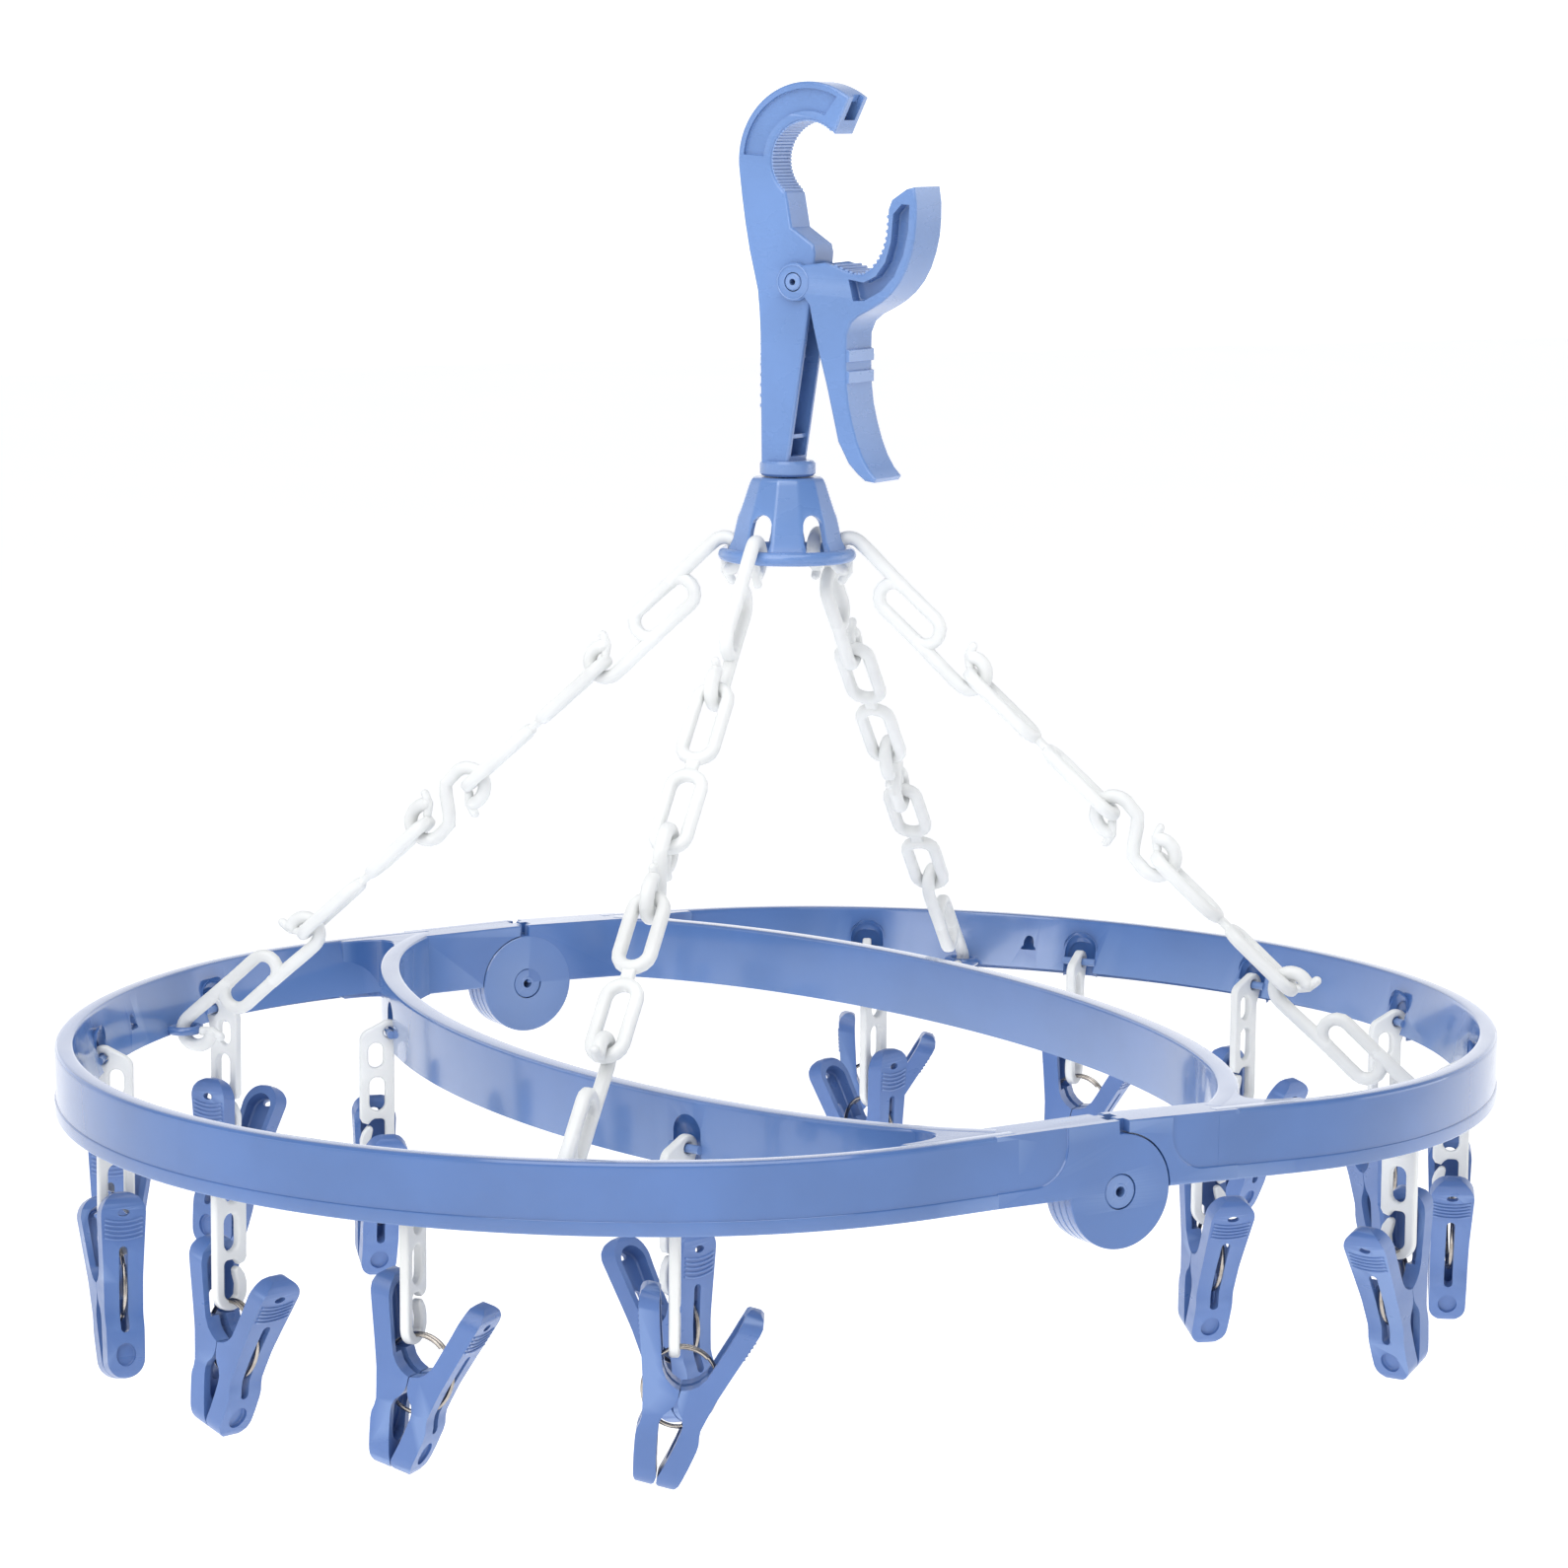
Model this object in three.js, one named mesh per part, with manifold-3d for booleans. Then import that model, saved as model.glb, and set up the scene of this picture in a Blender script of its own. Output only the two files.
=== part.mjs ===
// Clip drying hanger: an oval folding ring hung by four plastic chains from a
// bell-shaped hub, a spring clamp above it that grips a pole, and sixteen pegs.
// Millimetres, +Z up. The origin is on the swivel axis, level with the middle
// of the pole. X runs along the ring's length and Y along the folding hinge.
import * as THREE from 'three';
import { mergeVertices } from 'three/addons/utils/BufferGeometryUtils.js';
import Module from 'manifold-3d';

const wasm = await Module();
wasm.setup();

// ---------------------------------------------------------------- dimensions
// Ring outline: straight beside each hinge, a corner arc, then a large end arc.
const RING_HALF_LENGTH = 225;
const RING_HALF_WIDTH = 186;
const STRAIGHT_HALF = 60;
const END_RADIUS = 194;
const RING_TOP_Z = -257;
const OUTER_WALL_HEIGHT = 20;
const INNER_WALL_HEIGHT = 17.5;
const LEDGE_WIDTH = 6;
const INNER_WALL_FOOT = 11;
const WALL = 2;
const EDGE_ROUND = 1.5;
const DROOP = THREE.MathUtils.degToRad(1);

// Curved bar across each half: a shallow channel whose outer face is an ellipse.
const BAR_HALF_BOW = 101;
const BAR_HALF_SPAN = 195;
const BAR_WIDTH = 6.5;
const BAR_WALL = 1.6;
const BAR_END_ANGLE = THREE.MathUtils.degToRad(68);

// Folding hinge: four interleaved leaves at each end of the Y axis.
const HINGE_Z = RING_TOP_Z - 20;
const LEAF_RADIUS = 16.3;
const LEAF_CLEARANCE = 0.4;
const LEAF_THICKNESS = 3;
const LEAF_GAP = 0.3;
const LEAF_COUNT = 4;
const LEAF_SIDES = 28;
const HINGE_BLOCK_LENGTH = 46;
const HINGE_BORE = 5.2;
const HINGE_PIN_RADIUS = 4.9;
const HINGE_PIN_HOLE = 1.5;
const BUTT_GAP = 0.15;

// Peg pockets and chain loops on the inside of the ring.
const POCKET_WIDTH = 8;
const POCKET_TOP = 7;
const POCKET_BAR_RADIUS = 1.3;
const POCKET_BAR_INSET = 9.7;
const POCKET_BAR_DROP = 14;
const BAR_PEG_Y = 97;
const BAR_PIVOT_OUTSET = 0.6;
const CHAIN_LOOP_RADIUS = 4.7;
const CHAIN_LOOP_WIRE = 1.4;
const CHAIN_LOOP_INSET = 14;
const CHAIN_LOOP_DROP = 16;

// Degrees from the ring's long axis, for each pair of opposite quarters: the
// two halves are the same part turned half a turn. LEANS says which way each
// peg leans, seen from inside the wall it hangs on: left (1) or right (-1). The
// first three pegs of each quarter hang on the rim and the fourth on the bar.
const QUARTERS = {
  left_front: { pegs: [12.5, 31, 52], loop: 42.5, leans: [-1, -1, -1, -1] },
  left_back: { pegs: [8, 31, 54], loop: 47, leans: [1, 1, 1, 1] },
  right_front: { pegs: [8, 31, 54], loop: 47, leans: [-1, 1, 1, -1] },
  right_back: { pegs: [12.5, 31, 52], loop: 42.5, leans: [1, 1, 1, 1] },
};

// Hub: a twelve-sided bell with a rolled rim and six slots.
const HUB_TOP_Z = -92.4;
const HUB_RIM_Z = -116;
const HUB_TOP_RADIUS = 11.4;
const HUB_WAIST_RADIUS = 17;
const HUB_RIM_RADIUS = 19;
const HUB_RIM_ROLL = 2.1;
const HUB_WALL = 2;
const HUB_SIDES = 12;
const HUB_SLOTS = 6;
const HUB_SLOT_WIDTH = 7.6;
const HUB_SLOT_HEIGHT = 13;
const CHAIN_HUB_AZIMUTH = THREE.MathUtils.degToRad(30);

// Clamp: a fixed hook body and a sprung lever on one cross pin.
const CLAMP_AZIMUTH = THREE.MathUtils.degToRad(-58);
const BODY_DEPTH = 13;
const BODY_WALL = 1.8;
const POLE_CENTRE = [9, 3];
const JAW_OUTER_RADIUS = 23.5;
const JAW_INNER_RADIUS = 12;
const CLAMP_PIVOT = [5.9, -33.2];
const EAR_RADIUS = 5.8;
const LEVER_GAP = 0.3;
const LEVER_WALL = 2;
const CLAMP_PIN_RADIUS = 2.6;
const CLAMP_PIN_HOLE = 1;
const COLLAR_RADIUS = 8.5;
const SWIVEL_PIN_RADIUS = 3;
const SWIVEL_GAP = 0.35;

// Pegs: a hanging strap and two jaws.
const STRAP_WIDTH = 11;
const STRAP_THICKNESS = 3;
const STRAP_CENTRE = 3.8;
const STRAP_EYE_OUTER = 3.9;
const STRAP_EYE_INNER = 1.75;
const STRAP_FOOT = 42.4;
const STRAP_WINDOW_WIDTH = 5;
const STRAP_WINDOWS = [[-12.4, -5.2], [-25.6, -14.4]];
const STRAP_HOOK_WINDOW = [-39.9, -28.8];
const STRAP_SLIT = [-31.6, -30];
const PEG_TILT = THREE.MathUtils.degToRad(14.5);
const PEG_WIRE_POINT = [4.3, 38.6];
const PEG_WIRE_DROP = 39.6;
const PEG_TIP_WIDTH = 10.4;
const PEG_TOP_WIDTH = 13.4;
const PEG_LENGTH = 54.5;
const PEG_PARTING = 0.15;

// Chains: flat links, each a closed ring or a hook, linked at right angles.
const LINK_THICKNESS = 3.8;
const LINK_BAR = 3.8;
const RING_LINK_WIDTH = 12.6;
const RING_SHARE = 0.12;
const NECK_WIDTH = 5;
const LINK_HOOK_RADIUS = 6.6;
const LINK_HOOK_INNER = 1.6;
const HOOK_ARM_INNER = 3.2;
const HOOK_SWEEP = THREE.MathUtils.degToRad(205);
const HOOK_LAP = THREE.MathUtils.degToRad(5);
const HUB_HOOK_GAP = 1.25;
const LOOP_HOOK_GAP = 1.95;
const PLATE_LAP = 0.05;
const WAIST_LAP = 0.01;
// How far down the chain each hook stands and each plate or double ring spans, as shares of its length.
const CHAIN_SHARES = {
  topPlate: [0.05, 0.17],
  topHook: 0.218,
  upperRings: [0.21, 0.482],
  sTop: 0.475,
  sFoot: 0.551,
  lowerRings: [0.543, 0.797],
  footHook: 0.788,
  footPlate: [0.835, 0.955],
};

const BLUE = { color: 0x5d86c6, roughness: 0.32, metalness: 0 };
const PEG_BLUE = { color: 0x5477c4, roughness: 0.36, metalness: 0 };
const WHITE = { color: 0xeceeec, roughness: 0.45, metalness: 0 };

const group = new THREE.Group();
group.name = 'clip_drying_hanger';

// ------------------------------------------------------------ solid helpers
function welded(geometry) {
  const bare = geometry.clone();
  bare.deleteAttribute('normal');
  bare.deleteAttribute('uv');
  return mergeVertices(bare, 1e-4);
}

function toSolid(geometry) {
  const merged = welded(geometry);
  const mesh = new wasm.Mesh({
    numProp: 3,
    vertProperties: new Float32Array(merged.attributes.position.array),
    triVerts: new Uint32Array(merged.index.array),
  });
  return new wasm.Manifold(mesh);
}

function toGeometry(solid) {
  const mesh = solid.getMesh();
  const geometry = new THREE.BufferGeometry();
  geometry.setAttribute('position', new THREE.BufferAttribute(new Float32Array(mesh.vertProperties), 3));
  geometry.setIndex(new THREE.BufferAttribute(new Uint32Array(mesh.triVerts), 1));
  return geometry;
}

function join(parts) {
  return parts.reduce((whole, part) => whole.add(part));
}

// A flat outline pushed out evenly on both sides of its own plane, then placed
// by a matrix whose columns are the outline's right, up and outward directions.
function plate(shape, thickness, frame, curveSegments = 6) {
  const geometry = new THREE.ExtrudeGeometry(shape, { depth: thickness, bevelEnabled: false, curveSegments });
  geometry.translate(0, 0, -thickness / 2);
  geometry.applyMatrix4(frame);
  return toSolid(geometry);
}

function placement(origin, right, up) {
  const outward = new THREE.Vector3().crossVectors(right, up);
  const frame = new THREE.Matrix4().makeBasis(right, up, outward);
  frame.setPosition(origin);
  return frame;
}

function box(low, high) {
  const size = high.map((value, axis) => value - low[axis]);
  const geometry = new THREE.BoxGeometry(...size);
  geometry.translate(...high.map((value, axis) => (value + low[axis]) / 2));
  return geometry;
}

// A cylinder between two points.
function rod(from, to, radius, sides = 16) {
  const axis = new THREE.Vector3().subVectors(to, from);
  const geometry = new THREE.CylinderGeometry(radius, radius, axis.length(), sides);
  const upright = new THREE.Vector3(0, 1, 0);
  const turn = new THREE.Quaternion().setFromUnitVectors(upright, axis.clone().normalize());
  geometry.applyQuaternion(turn);
  geometry.translate(...new THREE.Vector3().addVectors(from, to).multiplyScalar(0.5).toArray());
  return toSolid(geometry);
}

function polygon(points) {
  return new THREE.Shape(points.map(([x, y]) => new THREE.Vector2(x, y)));
}

function arcPoints(centre, radius, from, to, steps) {
  return Array.from({ length: steps + 1 }, (_, i) => {
    const angle = from + (to - from) * i / steps;
    return [centre[0] + radius * Math.cos(angle), centre[1] + radius * Math.sin(angle)];
  });
}

// Sweep a closed section along plan stations. Each station has a point and the
// unit normal towards the inside; section points are [inset, height].
function sweep(stations, section) {
  const contour = section.map(([inset, height]) => new THREE.Vector2(inset, height));
  if (THREE.ShapeUtils.isClockWise(contour)) contour.reverse();
  const positions = [];
  for (const { point, inward } of stations) {
    for (const { x: inset, y: height } of contour) {
      positions.push(point[0] + inward[0] * inset, point[1] + inward[1] * inset, height);
    }
  }
  const count = contour.length;
  const index = [];
  for (let i = 0; i + 1 < stations.length; i += 1) {
    for (let j = 0; j < count; j += 1) {
      const a = i * count + j;
      const b = i * count + (j + 1) % count;
      index.push(a, b, a + count, b, b + count, a + count);
    }
  }
  const last = (stations.length - 1) * count;
  for (const [a, b, c] of THREE.ShapeUtils.triangulateShape(contour, [])) {
    index.push(c, b, a);
    index.push(last + a, last + b, last + c);
  }
  const geometry = new THREE.BufferGeometry();
  geometry.setAttribute('position', new THREE.Float32BufferAttribute(positions, 3));
  geometry.setIndex(index);
  return toSolid(facingOut(geometry));
}

// Turn every face over if the body is inside out.
function facingOut(geometry) {
  const index = geometry.index.array;
  const position = geometry.attributes.position;
  const corners = [new THREE.Vector3(), new THREE.Vector3(), new THREE.Vector3()];
  let volume = 0;
  for (let i = 0; i < index.length; i += 3) {
    corners.forEach((corner, k) => corner.fromBufferAttribute(position, index[i + k]));
    volume += corners[0].dot(corners[1].clone().cross(corners[2]));
  }
  return volume < 0 ? turnOver(geometry) : geometry;
}

function turnOver(geometry) {
  const index = geometry.index.array;
  for (let i = 0; i < index.length; i += 3) {
    [index[i], index[i + 1]] = [index[i + 1], index[i]];
  }
  return geometry;
}

// --------------------------------------------------------------- ring layout
// Corner arc radius that touches both the straight side and the end arc.
const END_CENTRE = RING_HALF_LENGTH - END_RADIUS;
const CENTRE_STEP = STRAIGHT_HALF - END_CENTRE;
const CORNER_RADIUS = (END_RADIUS ** 2 - CENTRE_STEP ** 2 - RING_HALF_WIDTH ** 2)
  / (2 * (END_RADIUS - RING_HALF_WIDTH));
const CORNER_Y = RING_HALF_WIDTH - CORNER_RADIUS;
const ARC_JOIN = Math.atan2(CORNER_Y, CENTRE_STEP);

function station(x, y, angle) {
  return { point: [x, y], inward: [-Math.cos(angle), -Math.sin(angle)] };
}

function arcStations(centre, radius, from, to, steps) {
  return Array.from({ length: steps + 1 }, (_, i) => {
    const angle = from + (to - from) * i / steps;
    return station(centre[0] + radius * Math.cos(angle), centre[1] + radius * Math.sin(angle), angle);
  });
}

// Outer outline of the +X half of the ring, from the -Y hinge to the +Y hinge.
function rimStations() {
  const quarter = Math.PI / 2;
  const start = HINGE_BLOCK_LENGTH - 4;
  return [
    station(start, -RING_HALF_WIDTH, -quarter),
    ...arcStations([STRAIGHT_HALF, -CORNER_Y], CORNER_RADIUS, -quarter, -ARC_JOIN, 4),
    ...arcStations([END_CENTRE, 0], END_RADIUS, -ARC_JOIN, ARC_JOIN, 16).slice(1, -1),
    ...arcStations([STRAIGHT_HALF, CORNER_Y], CORNER_RADIUS, ARC_JOIN, quarter, 4),
    station(start, RING_HALF_WIDTH, quarter),
  ];
}

// Point of the outline in the direction `degrees` from the ring's centre.
function rimPoint(degrees) {
  const angle = THREE.MathUtils.degToRad(degrees);
  const ray = [Math.cos(angle), Math.sin(angle)];
  const side = Math.sign(ray[1]) || 1;
  const hit = (centre, radius) => {
    const along = centre[0] * ray[0] + centre[1] * ray[1];
    const rest = centre[0] ** 2 + centre[1] ** 2 - radius ** 2;
    const reach = along + Math.sqrt(along ** 2 - rest);
    const [x, y] = [ray[0] * reach, ray[1] * reach];
    return station(x, y, Math.atan2(y - centre[1], x - centre[0]));
  };
  const onEnd = hit([END_CENTRE, 0], END_RADIUS);
  const turn = Math.abs(Math.atan2(onEnd.point[1], onEnd.point[0] - END_CENTRE));
  return turn <= ARC_JOIN ? onEnd : hit([STRAIGHT_HALF, side * CORNER_Y], CORNER_RADIUS);
}

function barStation(angle) {
  const x = BAR_HALF_BOW * Math.cos(angle);
  const y = BAR_HALF_SPAN * Math.sin(angle);
  const slope = Math.atan2(y / BAR_HALF_SPAN ** 2, x / BAR_HALF_BOW ** 2);
  return station(x, y, slope);
}

// Where something hangs on the inside of the rim or the outside of the bar:
// a point in plan, the direction away from the wall, and its height.
function hangPoint(place, inset, drop) {
  const [dx, dy] = place.inward;
  return {
    point: new THREE.Vector3(place.point[0] + dx * inset, place.point[1] + dy * inset, RING_TOP_Z - drop),
    away: new THREE.Vector3(dx, dy, 0),
  };
}

// Mirror the +X half onto the -X half, and let the outer end droop about the hinge.
function halfFrame(side) {
  const frame = new THREE.Matrix4().makeTranslation(0, 0, HINGE_Z);
  frame.multiply(new THREE.Matrix4().makeRotationY(side * DROOP));
  frame.multiply(new THREE.Matrix4().makeTranslation(0, 0, -HINGE_Z));
  return frame.multiply(new THREE.Matrix4().makeScale(side, 1, 1));
}

function leafBand(number, end) {
  const outer = RING_HALF_WIDTH - number * (LEAF_THICKNESS + LEAF_GAP);
  return [end * outer, end * (outer - LEAF_THICKNESS)];
}

// Hinge block at one end of a half, with its own leaves and room for the other's.
function hingeBlock(end, firstLeaf) {
  const stack = LEAF_COUNT * LEAF_THICKNESS + (LEAF_COUNT - 1) * LEAF_GAP;
  const ys = [end * RING_HALF_WIDTH, end * (RING_HALF_WIDTH - stack)].sort((a, b) => a - b);
  const low = [BUTT_GAP, ys[0], RING_TOP_Z - OUTER_WALL_HEIGHT];
  let block = toSolid(box(low, [HINGE_BLOCK_LENGTH, ys[1], RING_TOP_Z]));
  for (let leaf = 0; leaf < LEAF_COUNT; leaf += 1) {
    const [outer, inner] = leafBand(leaf, end);
    if (leaf % 2 === firstLeaf) {
      const [from, to] = [new THREE.Vector3(0, outer, HINGE_Z), new THREE.Vector3(0, inner, HINGE_Z)];
      const disc = rod(from, to, LEAF_RADIUS, LEAF_SIDES);
      block = block.add(disc);
    }
  }
  for (let leaf = 0; leaf < LEAF_COUNT; leaf += 1) {
    const [outer, inner] = leafBand(leaf, end);
    if (leaf % 2 !== firstLeaf) {
      const from = new THREE.Vector3(0, outer + end * LEAF_GAP, HINGE_Z);
      const to = new THREE.Vector3(0, inner - end * LEAF_GAP, HINGE_Z);
      block = block.subtract(rod(from, to, LEAF_RADIUS + LEAF_CLEARANCE, 28));
    }
  }
  const past = new THREE.Vector3(0, end, 0);
  const from = new THREE.Vector3(0, end * RING_HALF_WIDTH, HINGE_Z).add(past);
  const to = new THREE.Vector3(0, end * (RING_HALF_WIDTH - stack), HINGE_Z).sub(past);
  return block.subtract(rod(from, to, HINGE_BORE, 20));
}

// A recess through the wall with a small round bar at its foot.
function pocketCut(place, inset, reachOut, reachIn) {
  const { point, away } = hangPoint(place, inset, 0);
  const along = new THREE.Vector3(-away.y, away.x, 0);
  const low = -OUTER_WALL_HEIGHT - 1;
  const shape = polygon([
    [-POCKET_WIDTH / 2, low],
    [POCKET_WIDTH / 2, low],
    [POCKET_WIDTH / 2, -POCKET_TOP - 1.5],
    [POCKET_WIDTH / 2 - 1.5, -POCKET_TOP],
    [-POCKET_WIDTH / 2 + 1.5, -POCKET_TOP],
    [-POCKET_WIDTH / 2, -POCKET_TOP - 1.5],
  ]);
  const middle = point.clone().addScaledVector(away, (reachIn - reachOut) / 2);
  return plate(shape, reachOut + reachIn, placement(middle, along, new THREE.Vector3(0, 0, 1)));
}

function pocketBar(place, inset) {
  const { point, away } = hangPoint(place, inset, POCKET_BAR_DROP);
  const along = new THREE.Vector3(-away.y, away.x, 0);
  const half = POCKET_WIDTH / 2 + 1.5;
  const from = point.clone().addScaledVector(along, -half);
  const to = point.clone().addScaledVector(along, half);
  return rod(from, to, POCKET_BAR_RADIUS, 10);
}

function chainLoop(place) {
  const { point } = hangPoint(place, CHAIN_LOOP_INSET, CHAIN_LOOP_DROP);
  const geometry = new THREE.TorusGeometry(CHAIN_LOOP_RADIUS, CHAIN_LOOP_WIRE, 6, 16);
  geometry.translate(point.x, point.y, point.z);
  return toSolid(geometry);
}

// The bar's pockets open on its outer face, so "away" there points outward.
function barPegPlace(end) {
  const place = barStation(end * Math.asin(BAR_PEG_Y / BAR_HALF_SPAN));
  return { point: place.point, inward: place.inward.map((value) => -value) };
}

function halfRing(sideName, firstLeaf) {
  const top = RING_TOP_Z;
  const rimSection = [
    [0, top - OUTER_WALL_HEIGHT],
    [0, top - EDGE_ROUND],
    [EDGE_ROUND, top],
    [LEDGE_WIDTH, top],
    [INNER_WALL_FOOT, top - INNER_WALL_HEIGHT],
    [INNER_WALL_FOOT - WALL, top - INNER_WALL_HEIGHT],
    [LEDGE_WIDTH - WALL * 0.7, top - WALL],
    [WALL, top - WALL],
    [WALL, top - OUTER_WALL_HEIGHT],
  ];
  const barSection = [
    [0, top - OUTER_WALL_HEIGHT],
    [0, top],
    [BAR_WIDTH, top],
    [BAR_WIDTH, top - OUTER_WALL_HEIGHT],
    [BAR_WIDTH - BAR_WALL, top - OUTER_WALL_HEIGHT],
    [BAR_WIDTH - BAR_WALL, top - BAR_WALL],
    [BAR_WALL, top - BAR_WALL],
    [BAR_WALL, top - OUTER_WALL_HEIGHT],
  ];
  const barSteps = 16;
  const barTurn = (i) => BAR_END_ANGLE * (2 * i / barSteps - 1);
  const bar = Array.from({ length: barSteps + 1 }, (_, i) => barStation(barTurn(i)));
  let half = join([
    sweep(rimStations(), rimSection),
    sweep(bar, barSection),
    hingeBlock(-1, firstLeaf),
    hingeBlock(1, firstLeaf),
  ]);
  for (const [endName, end] of ENDS) {
    const quarter = QUARTERS[`${sideName}_${endName}`];
    for (const degrees of quarter.pegs) {
      const place = rimPoint(end * degrees);
      half = half.subtract(pocketCut(place, POCKET_BAR_INSET, 5, 3));
      half = half.add(pocketBar(place, POCKET_BAR_INSET));
    }
    const place = barPegPlace(end);
    half = half.subtract(pocketCut(place, BAR_PIVOT_OUTSET, 3.8, 2));
    half = half.add(pocketBar(place, BAR_PIVOT_OUTSET));
    half = half.add(chainLoop(rimPoint(end * quarter.loop)));
  }
  return half;
}

// ---------------------------------------------------------------------- pegs
// Strap seen face on: u runs away from the wall and v up from its pivot.
function strapShape() {
  const half = STRAP_WIDTH / 2;
  const foot = -STRAP_FOOT;
  const inner = STRAP_CENTRE - half;
  const outer = STRAP_CENTRE + half;
  const shape = polygon([
    ...arcPoints([0, 0], STRAP_EYE_OUTER, Math.PI, Math.PI * 0.35, 4),
    [outer - 1, 0.5],
    [outer, -1.5],
    ...arcPoints([STRAP_CENTRE, foot + half], half, 0, -Math.PI, 6),
  ]);
  shape.holes.push(polygon(arcPoints([0, 0], STRAP_EYE_INNER, 0, Math.PI * 2, 8).slice(1)));
  const window = STRAP_WINDOW_WIDTH / 2;
  for (const [bottom, top] of [...STRAP_WINDOWS, STRAP_HOOK_WINDOW]) {
    shape.holes.push(polygon([
      ...arcPoints([STRAP_CENTRE, top - window], window, 0, Math.PI, 3),
      ...arcPoints([STRAP_CENTRE, bottom + window], window, Math.PI, Math.PI * 2, 3),
    ]));
  }
  return shape;
}

// Half of a peg in its own plane: u outward from the parting line, v up from the tip.
function jawProfile() {
  return [
    [PEG_PARTING, 0],
    [4.8, 0],
    [6.4, 2],
    [8.7, 15],
    [8.2, 19],
    [10.2, 28],
    [16.8, 48.5],
    [16.6, 52],
    [14.6, PEG_LENGTH],
    [12.6, 54],
    [8.2, 39.5],
    [6.4, 33],
    [3.4, 29.8],
    [PEG_PARTING, 28.8],
    [PEG_PARTING, 27],
    [2.7, 21.6],
    [3, 17],
    [PEG_PARTING, 4.5],
  ];
}

function jawFace() {
  const top = PEG_TOP_WIDTH / 2;
  const tip = PEG_TIP_WIDTH / 2;
  return polygon([
    ...arcPoints([0, PEG_LENGTH + 3 - top], top, 0, Math.PI, 5),
    ...arcPoints([0, tip - 1], tip, Math.PI, Math.PI * 2, 5),
  ]);
}

// Everything about one peg that the strap, the jaws and the pivot points share.
function pegLayout(side, hang, lean) {
  const frame = halfFrame(side);
  const pivot = hang.point.clone().applyMatrix4(frame);
  const away = hang.away.clone().transformDirection(frame).setZ(0).normalize();
  const along = new THREE.Vector3(-away.y, away.x, 0).multiplyScalar(lean);
  const up = new THREE.Vector3(0, 0, 1);
  const leanUp = up.clone().multiplyScalar(Math.cos(PEG_TILT)).addScaledVector(along, Math.sin(PEG_TILT));
  const upright = along.clone().multiplyScalar(-Math.cos(PEG_TILT)).addScaledVector(up, Math.sin(PEG_TILT));
  const wire = pivot.clone().addScaledVector(up, -PEG_WIRE_DROP).addScaledVector(away, STRAP_CENTRE);
  const [out, drop] = PEG_WIRE_POINT;
  const tip = wire.clone().addScaledVector(upright, -out).addScaledVector(leanUp, -drop);
  return { pivot, away, along, up, leanUp, upright, tip };
}

// The slit opens the lowest window on the side away from the wall, so that the
// strap snaps over the peg's wire.
function strap(layout) {
  const frame = placement(layout.pivot, layout.away, layout.up);
  const [bottom, top] = STRAP_SLIT;
  const past = STRAP_CENTRE + STRAP_WIDTH;
  const slit = polygon([[STRAP_CENTRE, bottom], [past, bottom], [past, top], [STRAP_CENTRE, top]]);
  return plate(strapShape(), STRAP_THICKNESS, frame).subtract(plate(slit, STRAP_THICKNESS + 1, frame));
}

// `outward` points from the parting plane into this jaw.
function jaw(layout, outward) {
  const sideways = placement(layout.tip, outward, layout.leanUp);
  const profile = plate(polygon(jawProfile()), PEG_TOP_WIDTH + 1, sideways);
  const middle = layout.tip.clone().addScaledVector(outward, 9);
  const face = plate(jawFace(), 24, placement(middle, layout.away, layout.leanUp));
  return profile.intersect(face);
}

// ---------------------------------------------------------------------- chain
function stadium(radius, reach) {
  return [
    ...arcPoints([0, reach], radius, 0, Math.PI, 4),
    ...arcPoints([0, -reach], radius, Math.PI, Math.PI * 2, 4),
  ];
}

// A closed flat ring, its long way up the page.
function ringLinkShape(length) {
  const outer = RING_LINK_WIDTH / 2;
  const reach = length / 2 - outer;
  const shape = polygon(stadium(outer, reach));
  shape.holes.push(polygon(stadium(outer - LINK_BAR, reach)));
  return shape;
}

// A hook round the drawing's origin. Its arm comes in on the `armSide` of x from
// the +y way (arm 1) or the -y way (arm -1), and it ends just past the far side.
function hookShape(inner, armSide, arm) {
  const level = armSide > 0 ? 0 : Math.PI;
  const start = level + armSide * arm * HOOK_LAP;
  const end = level - armSide * arm * HOOK_SWEEP;
  return polygon([
    ...arcPoints([0, 0], LINK_HOOK_RADIUS, start, end, 8),
    ...arcPoints([0, 0], inner, end, start, 8),
  ]);
}

function neckShape(width, length, shift) {
  const [low, high] = [shift - width / 2, shift + width / 2];
  return polygon([[low, -length / 2], [high, -length / 2], [high, length / 2], [low, length / 2]]);
}

// The S link's body: a slanting bar from one hook's arm across to the other's.
function slantShape(length, half) {
  const arm = (LINK_HOOK_RADIUS + LINK_HOOK_INNER) / 2;
  return polygon([
    [arm + half, -length / 2],
    [arm + half, -length / 4],
    [-arm + half, length / 2],
    [-arm - half, length / 2],
    [-arm - half, length / 4],
    [arm - half, -length / 2],
  ]);
}

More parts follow.
